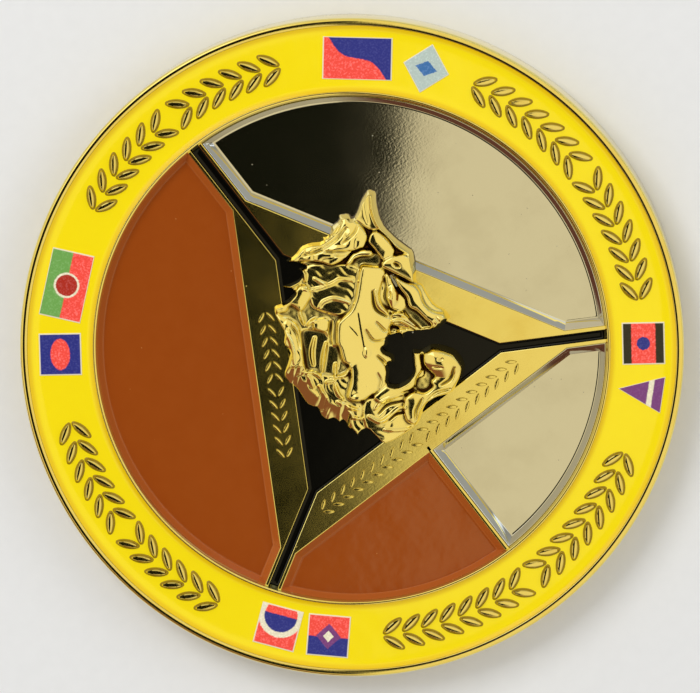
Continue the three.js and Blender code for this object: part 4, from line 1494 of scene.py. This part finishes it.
@dataclass
class WolfHead:
    """Wolf's head in relief: a height over a grid, painted facet by facet and then stroked.

    Places are millimetres in the head's own frame, and levels stand above the triangle frame.
    """

    step: float = 0.05
    low: tuple = (-6.6, -7.9)
    high: tuple = (9.3, 12.7)
    base: float = 0.34
    sunk: float = -0.9
    ripple_height: float = 0.0012
    # depth below the blurred surroundings at which the painted shade is full
    full_shade_depth: float = 0.3  # hollow that counts as a full recess
    outer_slope: float = 0.26

    def __post_init__(self) -> None:
        """Lays out the grid."""
        columns = np.arange(self.low[0], self.high[0], self.step)
        rows = np.arange(self.low[1], self.high[1], self.step)
        self.x, self.y = np.meshgrid(columns, rows)
        self.height = np.full(self.x.shape, self.base)

    def window(self, points: np.ndarray, margin: float) -> tuple:
        """Part of the grid around some points."""
        first = (points.min(axis=0) - margin - np.array(self.low)) / self.step
        last = (points.max(axis=0) + margin - np.array(self.low)) / self.step
        start = np.maximum(first.astype(int), 0)
        return slice(start[1], int(last[1]) + 1), slice(start[0], int(last[0]) + 1)

    def paint(self, plate: Plate) -> None:
        """Lays one facet: level + slope . p + crown * (1 - exp(-d / reach)), over a soft edge.

        Args:
            plate: Facet to lay.
        """
        outline = softened(plate.outline)
        part = self.window(outline, plate.edge * 2)
        x, y = self.x[part], self.y[part]
        depth = outline_depth(x, y, outline)
        cover = smooth_step(depth / plate.edge + 0.5)
        middle = outline.mean(axis=0)
        laid = plate.level + plate.slope[0] * (x - middle[0]) + plate.slope[1] * (y - middle[1])
        laid = laid + plate.crown * (1 - np.exp(-np.maximum(depth, 0.0) / plate.reach))
        heading, spacing, rise = plate.hair
        if rise:
            turn = math.radians(heading)
            along = x * math.cos(turn) + y * math.sin(turn)
            across = -x * math.sin(turn) + y * math.cos(turn)
            wander = 0.35 * np.sin(along * 1.9 + across * 0.8) + 0.18 * np.sin(along * 4.3)
            laid = laid + rise * (np.abs(np.sin(np.pi * (across + wander * spacing) / spacing)) - 0.5)
        self.height[part] = self.height[part] * (1 - cover) + laid * cover

    def stroke(self, stroke: Stroke) -> None:
        """Adds height * (1 - (d / width)^2)^2 * fade to the points near a smooth line.

        Args:
            stroke: Lock or groove to add.
        """
        points = np.array(stroke.line, float)
        padded = np.concatenate([2 * points[:1] - points[1:2], points, 2 * points[-1:] - points[-2:-1]])
        t = np.linspace(0.0, 1.0, 9)[:-1, None]
        pieces = []
        for a, b, c, d in zip(padded, padded[1:], padded[2:], padded[3:]):
            pieces.append(0.5 * (2 * b + (c - a) * t + (2 * a - 5 * b + 4 * c - d) * t**2
                                 + (3 * b - a - 3 * c + d) * t**3))
        path = np.concatenate(pieces + [points[-1:]])
        part = self.window(path, stroke.width)
        x, y = self.x[part], self.y[part]
        share = np.linspace(0.0, 1.0, len(path))
        added = np.zeros(x.shape)
        for index in range(len(path) - 1):
            (ax, ay), (bx, by) = path[index], path[index + 1]
            dx, dy = bx - ax, by - ay
            k = np.clip(((x - ax) * dx + (y - ay) * dy) / max(dx * dx + dy * dy, 1e-12), 0.0, 1.0)
            place = share[index] + (share[index + 1] - share[index]) * k
            width = stroke.width * (0.35 + 0.65 * np.sin(np.pi * np.clip(place, 0.04, 0.96)) ** 0.6)
            near = np.hypot(x - ax - k * dx, y - ay - k * dy) / width
            added = np.maximum(added, np.clip(1 - near**2, 0.0, 1.0) ** 2)
        self.height[part] += stroke.height * added

    def bump(self, bump: Bump) -> None:
        """Adds a domed oval."""
        across = (self.x - bump.centre[0]) / bump.radii[0]
        upward = (self.y - bump.centre[1]) / bump.radii[1]
        q = across ** 2 + upward ** 2
        self.height += bump.height * np.clip(1 - q, 0.0, 1.0) ** bump.power

    def shape(self) -> np.ndarray:
        """Works the whole relief and gives the depth inside the silhouette.

        Returns:
            Depth for each point of the grid, negative outside.
        """
        for plate in PLATES:
            self.paint(plate)
        for bump in BUMPS:
            self.bump(bump)
        for stroke in STROKES:
            self.stroke(stroke)
        depth = outline_depth(self.x, self.y, softened(SILHOUETTE, 1))
        ripple = np.sin(self.x * 9.0 + 2.0 * np.sin(self.y * 3.1))
        fine = self.ripple_height * ripple * np.sin(self.y * 7.3 + self.x * 2.2)
        self.height = blurred(self.height + fine, 2)
        heading = np.arctan2(self.y - 0.5, self.x + 0.2)
        facing = smooth_step(1.6 - np.abs(heading + 2.1) / 0.75)
        notch = 0.05 * np.abs(np.sin(4.6 * self.x - 2.1 * self.y + np.sin(3.0 * self.x)))
        bevel = -0.16 + notch + 0.5 * np.maximum(depth, 0.0)
        self.height = np.minimum(self.height, bevel + 4.0 * (1 - facing))
        wall = self.sunk + 2.3 * (1 - np.exp(-np.maximum(depth, 0.0) / self.outer_slope))
        self.height = np.minimum(self.height, wall)
        return depth

    def build(self, gilt: bpy.types.Material) -> None:
        """Writes the relief as a closed piece, turned to its lean on the coin.

        Args:
            gilt: Finish of the head.
        """
        depth = self.shape()
        # painted shade in the head's hollows: how far each point lies below its blurred surroundings
        hollow_shade = np.clip((blurred(self.height, 9) - self.height) / self.full_shade_depth, 0.0, 1.0)
        rows, columns = self.x.shape
        quads = grid_quads(rows, columns)
        quads = quads[(depth.ravel()[quads] > -self.step).any(axis=1)]
        used, index = np.unique(quads, return_inverse=True)
        points = np.column_stack([self.x.ravel(), self.y.ravel(), self.height.ravel() + SIZES.plateau])
        points = turned(points[used], HEAD_LEAN)
        shell = Shell(points, [index.reshape(-1, 4)], {"recess_shade": hollow_shade.ravel()[used]})
        piece = make_piece("wolf_relief", shell, gilt, "wolf_head", crease=180, weld=False)
        edit = bmesh.new()
        edit.from_mesh(piece.data)
        rim = [edge for edge in edit.edges if edge.is_boundary]
        bmesh.ops.holes_fill(edit, edges=rim, sides=0)
        bmesh.ops.recalc_face_normals(edit, faces=edit.faces)
        edit.to_mesh(piece.data)
        edit.free()


# ------------------------------------------------------------------------------ stage

# colours that only the gloss of the metals and enamels sees
LOW_ROOM = (0.75, 0.66, 0.45, 1)
HIGH_ROOM = (0.93, 0.80, 0.46, 1)
RED_BROWN_ROOM = (0.20, 0.055, 0.03, 1)
DARK_PATCH = (0.009, 0.009, 0.004, 1)
GLOW = (1.55, 1.5, 1.3, 1)
WINDOW = (0.48, 0.48, 0.43, 1)
PANE = (1.7, 1.85, 2.1, 1)


@dataclass
class Studio:
    """Camera, lamps, floor and the room that the metal reflects."""

    distance: float = 0.5
    tilt: float = math.radians(8.5)
    lean_to: float = math.radians(32.1)  # direction in which the camera stands, seen from above
    up_turn: float = math.radians(52.1)  # direction on the coin that points up in the view
    frame_share: float = 662.5 / 700.0  # share of the view's width that the rim takes
    aim_up: float = 0.25  # mm above the coin's middle, in the view
    aim_left: float = 0.08  # mm

    def camera(self) -> None:
        """Places the camera so that the rim fills its share of the view."""
        aim = Vector((0, 0, SIZES.rim_top * MM))
        back = Vector((math.sin(self.tilt) * math.cos(self.lean_to),
                       math.sin(self.tilt) * math.sin(self.lean_to), math.cos(self.tilt)))
        up = Vector((math.cos(self.up_turn), math.sin(self.up_turn), 0))
        right = up.cross(back).normalized()
        up = back.cross(right)
        aim += (up * self.aim_up - right * self.aim_left) * MM
        data = bpy.data.cameras.new("camera")
        crest = (SIZES.radius - 0.1) * MM
        data.lens = data.sensor_width * self.distance * self.frame_share / (2 * crest)
        data.clip_start = 0.01
        camera = bpy.data.objects.new("camera", data)
        spot = aim + back * self.distance
        rotation = Matrix((right, up, back)).transposed().to_4x4()
        camera.matrix_world = Matrix.Translation(spot) @ rotation
        bpy.context.scene.collection.objects.link(camera)
        bpy.context.scene.camera = camera

    def lamp(self, name: str, direction: float, height: float, size: float, power: float,
             colour: tuple = (1, 1, 1)) -> None:
        """Soft square lamp that faces the coin.

        Args:
            name: Name of the lamp.
            direction: Direction it stands in, in degrees of the view, 90 upwards.
            height: Elevation above the floor in degrees.
            size: Side of the square in metres.
            power: Power in watts.
            colour: Colour of the light.
        """
        data = bpy.data.lights.new(name, "AREA")
        data.size = size
        data.energy = power
        data.color = colour
        angle = math.radians(direction) + HEAD_LEAN
        rise = math.radians(height)
        spot = Vector((math.cos(rise) * math.cos(angle), math.cos(rise) * math.sin(angle), math.sin(rise)))
        lamp = bpy.data.objects.new(name, data)
        lamp.location = spot * 0.7
        lamp.rotation_euler = spot.to_track_quat("Z", "Y").to_euler()
        lamp.visible_glossy = False
        bpy.context.scene.collection.objects.link(lamp)

    def room(self) -> None:
        """World: white backdrop, plain diffuse light, and a warm room with a dark patch in gloss."""
        world = bpy.data.worlds.new("room")
        bpy.context.scene.world = world
        world.use_nodes = True
        graph = Graph(world.node_tree)
        direction = graph.add("TexCoord").outputs["Generated"]
        view = graph.place(direction, turn=-HEAD_LEAN)
        parts = graph.add("SeparateXYZ", {0: view})
        x, y, z = parts.outputs
        rise = graph.math("MAXIMUM", z, 0.05)
        a, b = graph.math("DIVIDE", x, rise), graph.math("DIVIDE", y, rise)
        ruffle = graph.math("MULTIPLY", graph.math("SUBTRACT", graph.noise(view, 60.0, 2.0), 0.5), 0.02)
        a_edge = graph.math("ADD", a, ruffle)
        dark = graph.smooth(a_edge, -0.040, -0.048)
        dark = graph.math("MULTIPLY", dark, graph.smooth(a, -0.42, -0.30))
        dark = graph.math("MULTIPLY", dark, graph.smooth(b, -0.62, -0.45))
        dark = graph.math("MULTIPLY", dark, graph.smooth(b, 0.24, 0.12))
        dark = graph.math("MULTIPLY", dark, graph.smooth(z, 0.2, 0.4))
        warm = graph.mix(graph.smooth(z, 0.1, 0.95), LOW_ROOM, HIGH_ROOM)
        low_left = graph.math("MULTIPLY", graph.smooth(a, 0.1, -0.35), graph.smooth(b, -0.5, -0.8))
        warm = graph.mix(graph.math("MULTIPLY", low_left, 0.95), warm, RED_BROWN_ROOM)
        seen = graph.mix(dark, warm, DARK_PATCH)
        glow = graph.math("MULTIPLY", graph.smooth(a, -0.24, -0.38), graph.smooth(a, -1.4, -1.0))
        glow = graph.math("MULTIPLY", glow, graph.smooth(b, 0.16, 0.34))
        glow = graph.math("MULTIPLY", glow, graph.smooth(b, 1.7, 1.2))
        seen = graph.mix(glow, seen, GLOW)
        window = graph.math("MULTIPLY", graph.smooth(a, 0.25, 0.6), graph.smooth(b, 0.5, 1.1))
        seen = graph.mix(window, seen, WINDOW)
        pane = graph.math("MULTIPLY", window, graph.math("MULTIPLY", graph.smooth(b, 1.6, 1.75),
                                                         graph.smooth(b, 2.3, 1.9)))
        seen = graph.mix(pane, seen, PANE)
        glossy = graph.add("Background", {"Color": seen, "Strength": 1.0})
        plain = graph.add("Background", {"Color": (1, 1, 1, 1), "Strength": 0.60})
        white = graph.add("Background", {"Color": (1, 1, 1, 1), "Strength": 1.0})
        path = graph.add("LightPath")
        first = graph.add("MixShader", {0: path.outputs["Is Glossy Ray"], 1: plain.outputs[0],
                                        2: glossy.outputs[0]})
        second = graph.add("MixShader", {0: path.outputs["Is Camera Ray"], 1: first.outputs[0],
                                         2: white.outputs[0]})
        output = graph.add("OutputWorld")
        graph.tree.links.new(second.outputs[0], output.inputs["Surface"])

    def floor(self) -> None:
        """Pale floor with a faint grain."""
        mesh = bpy.data.meshes.new("floor")
        reach = 1.5
        corners = [(-reach, -reach, 0), (reach, -reach, 0), (reach, reach, 0), (-reach, reach, 0)]
        mesh.from_pydata(corners, [], [(0, 1, 2, 3)])
        material, graph, shader, place = surface("pale_floor")
        grain = graph.noise(place, 900.0, 3.0)
        colour = graph.mix(grain, (0.80, 0.80, 0.79, 1), (0.84, 0.84, 0.83, 1))
        graph.tree.links.new(colour, shader.inputs["Base Color"])
        shader.inputs["Roughness"].default_value = 0.7
        mesh.materials.append(material)
        floor = bpy.data.objects.new("floor", mesh)
        bpy.context.scene.collection.objects.link(floor)

    def build(self) -> None:
        """Sets the whole stage."""
        self.camera()
        self.lamp("key", 130, 52, 0.30, 2.0)
        self.lamp("fill", 20, 40, 0.35, 0.6)
        self.room()
        self.floor()
        scene = bpy.context.scene
        scene.view_settings.view_transform = "Standard"


# ------------------------------------------------------------------------------ assembly

GILT = (0.89, 0.77, 0.27, 1)
GILT_WORN = (0.86, 0.71, 0.22, 1)


def dress_pins(steel: bpy.types.Material) -> None:
    """Gives the two hidden steady pins their finish."""
    for name in ("steady_pin_forehead", "steady_pin_crest"):
        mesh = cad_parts[name].data
        mesh.materials.clear()
        mesh.materials.append(steel)
        LOG.info("%s: dressed", name)


def main() -> None:
    """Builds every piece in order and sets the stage."""
    logging.basicConfig(level=logging.INFO, format="%(name)s %(message)s")
    gilt = PlateFinish("gilt", GILT, GILT_WORN, roughness=0.06).make()
    nickel = PlateFinish("nickel", (0.66, 0.655, 0.62, 1), (0.62, 0.61, 0.57, 1), roughness=0.03).make()
    steel = PlateFinish("pin_steel", (0.5, 0.5, 0.48, 1), (0.4, 0.4, 0.4, 1), roughness=0.3).make()
    # the darker colour at the yellow's walls is painted shade beside the rim and the lip
    yellow = EnamelFinish("yellow_enamel", rgba(255, 230, 20), rgba(240, 200, 8), rgba(200, 160, 20),
                          wall_band_from=0.5, wall_band_to=0.1, specks=0.02).make()
    brown = EnamelFinish("brown_enamel", rgba(150, 68, 14), rgba(178, 92, 34), rgba(205, 140, 80)).make()
    black = EnamelFinish("black_enamel", rgba(5, 5, 4), rgba(9, 9, 7), rgba(190, 188, 170),
                         specks=0.05, unevenness=0.002, index=1.3).make()
    # the head's finish paints shade into its hollows
    head = PlateFinish("gilt_head", (0.94, 0.83, 0.34, 1), (0.89, 0.76, 0.26, 1), roughness=0.10,
                       has_recess_shade=True).make()
    # the leaves' finish paints shade towards their feet
    leaf = PlateFinish("gilt_leaf", GILT, GILT_WORN, roughness=0.06,
                       has_recess_shade=True).make()
    # darker enamel, painted as the shadow round the foot of each ring leaf
    foot = EnamelFinish("yellow_enamel_foot_shadow", rgba(176, 146, 10), rgba(150, 120, 6), rgba(110, 84, 10),
                        wall_band_from=0.5, wall_band_to=0.1, specks=0.02).make()
    CoinBody().build(gilt)
    Ornament().build(leaf, foot)
    Fills().build(yellow, brown, black, nickel)
    FlagRow().build()
    WolfHead().build(head)
    dress_pins(steel)
    Studio().build()


if __name__ == "__main__":
    main()
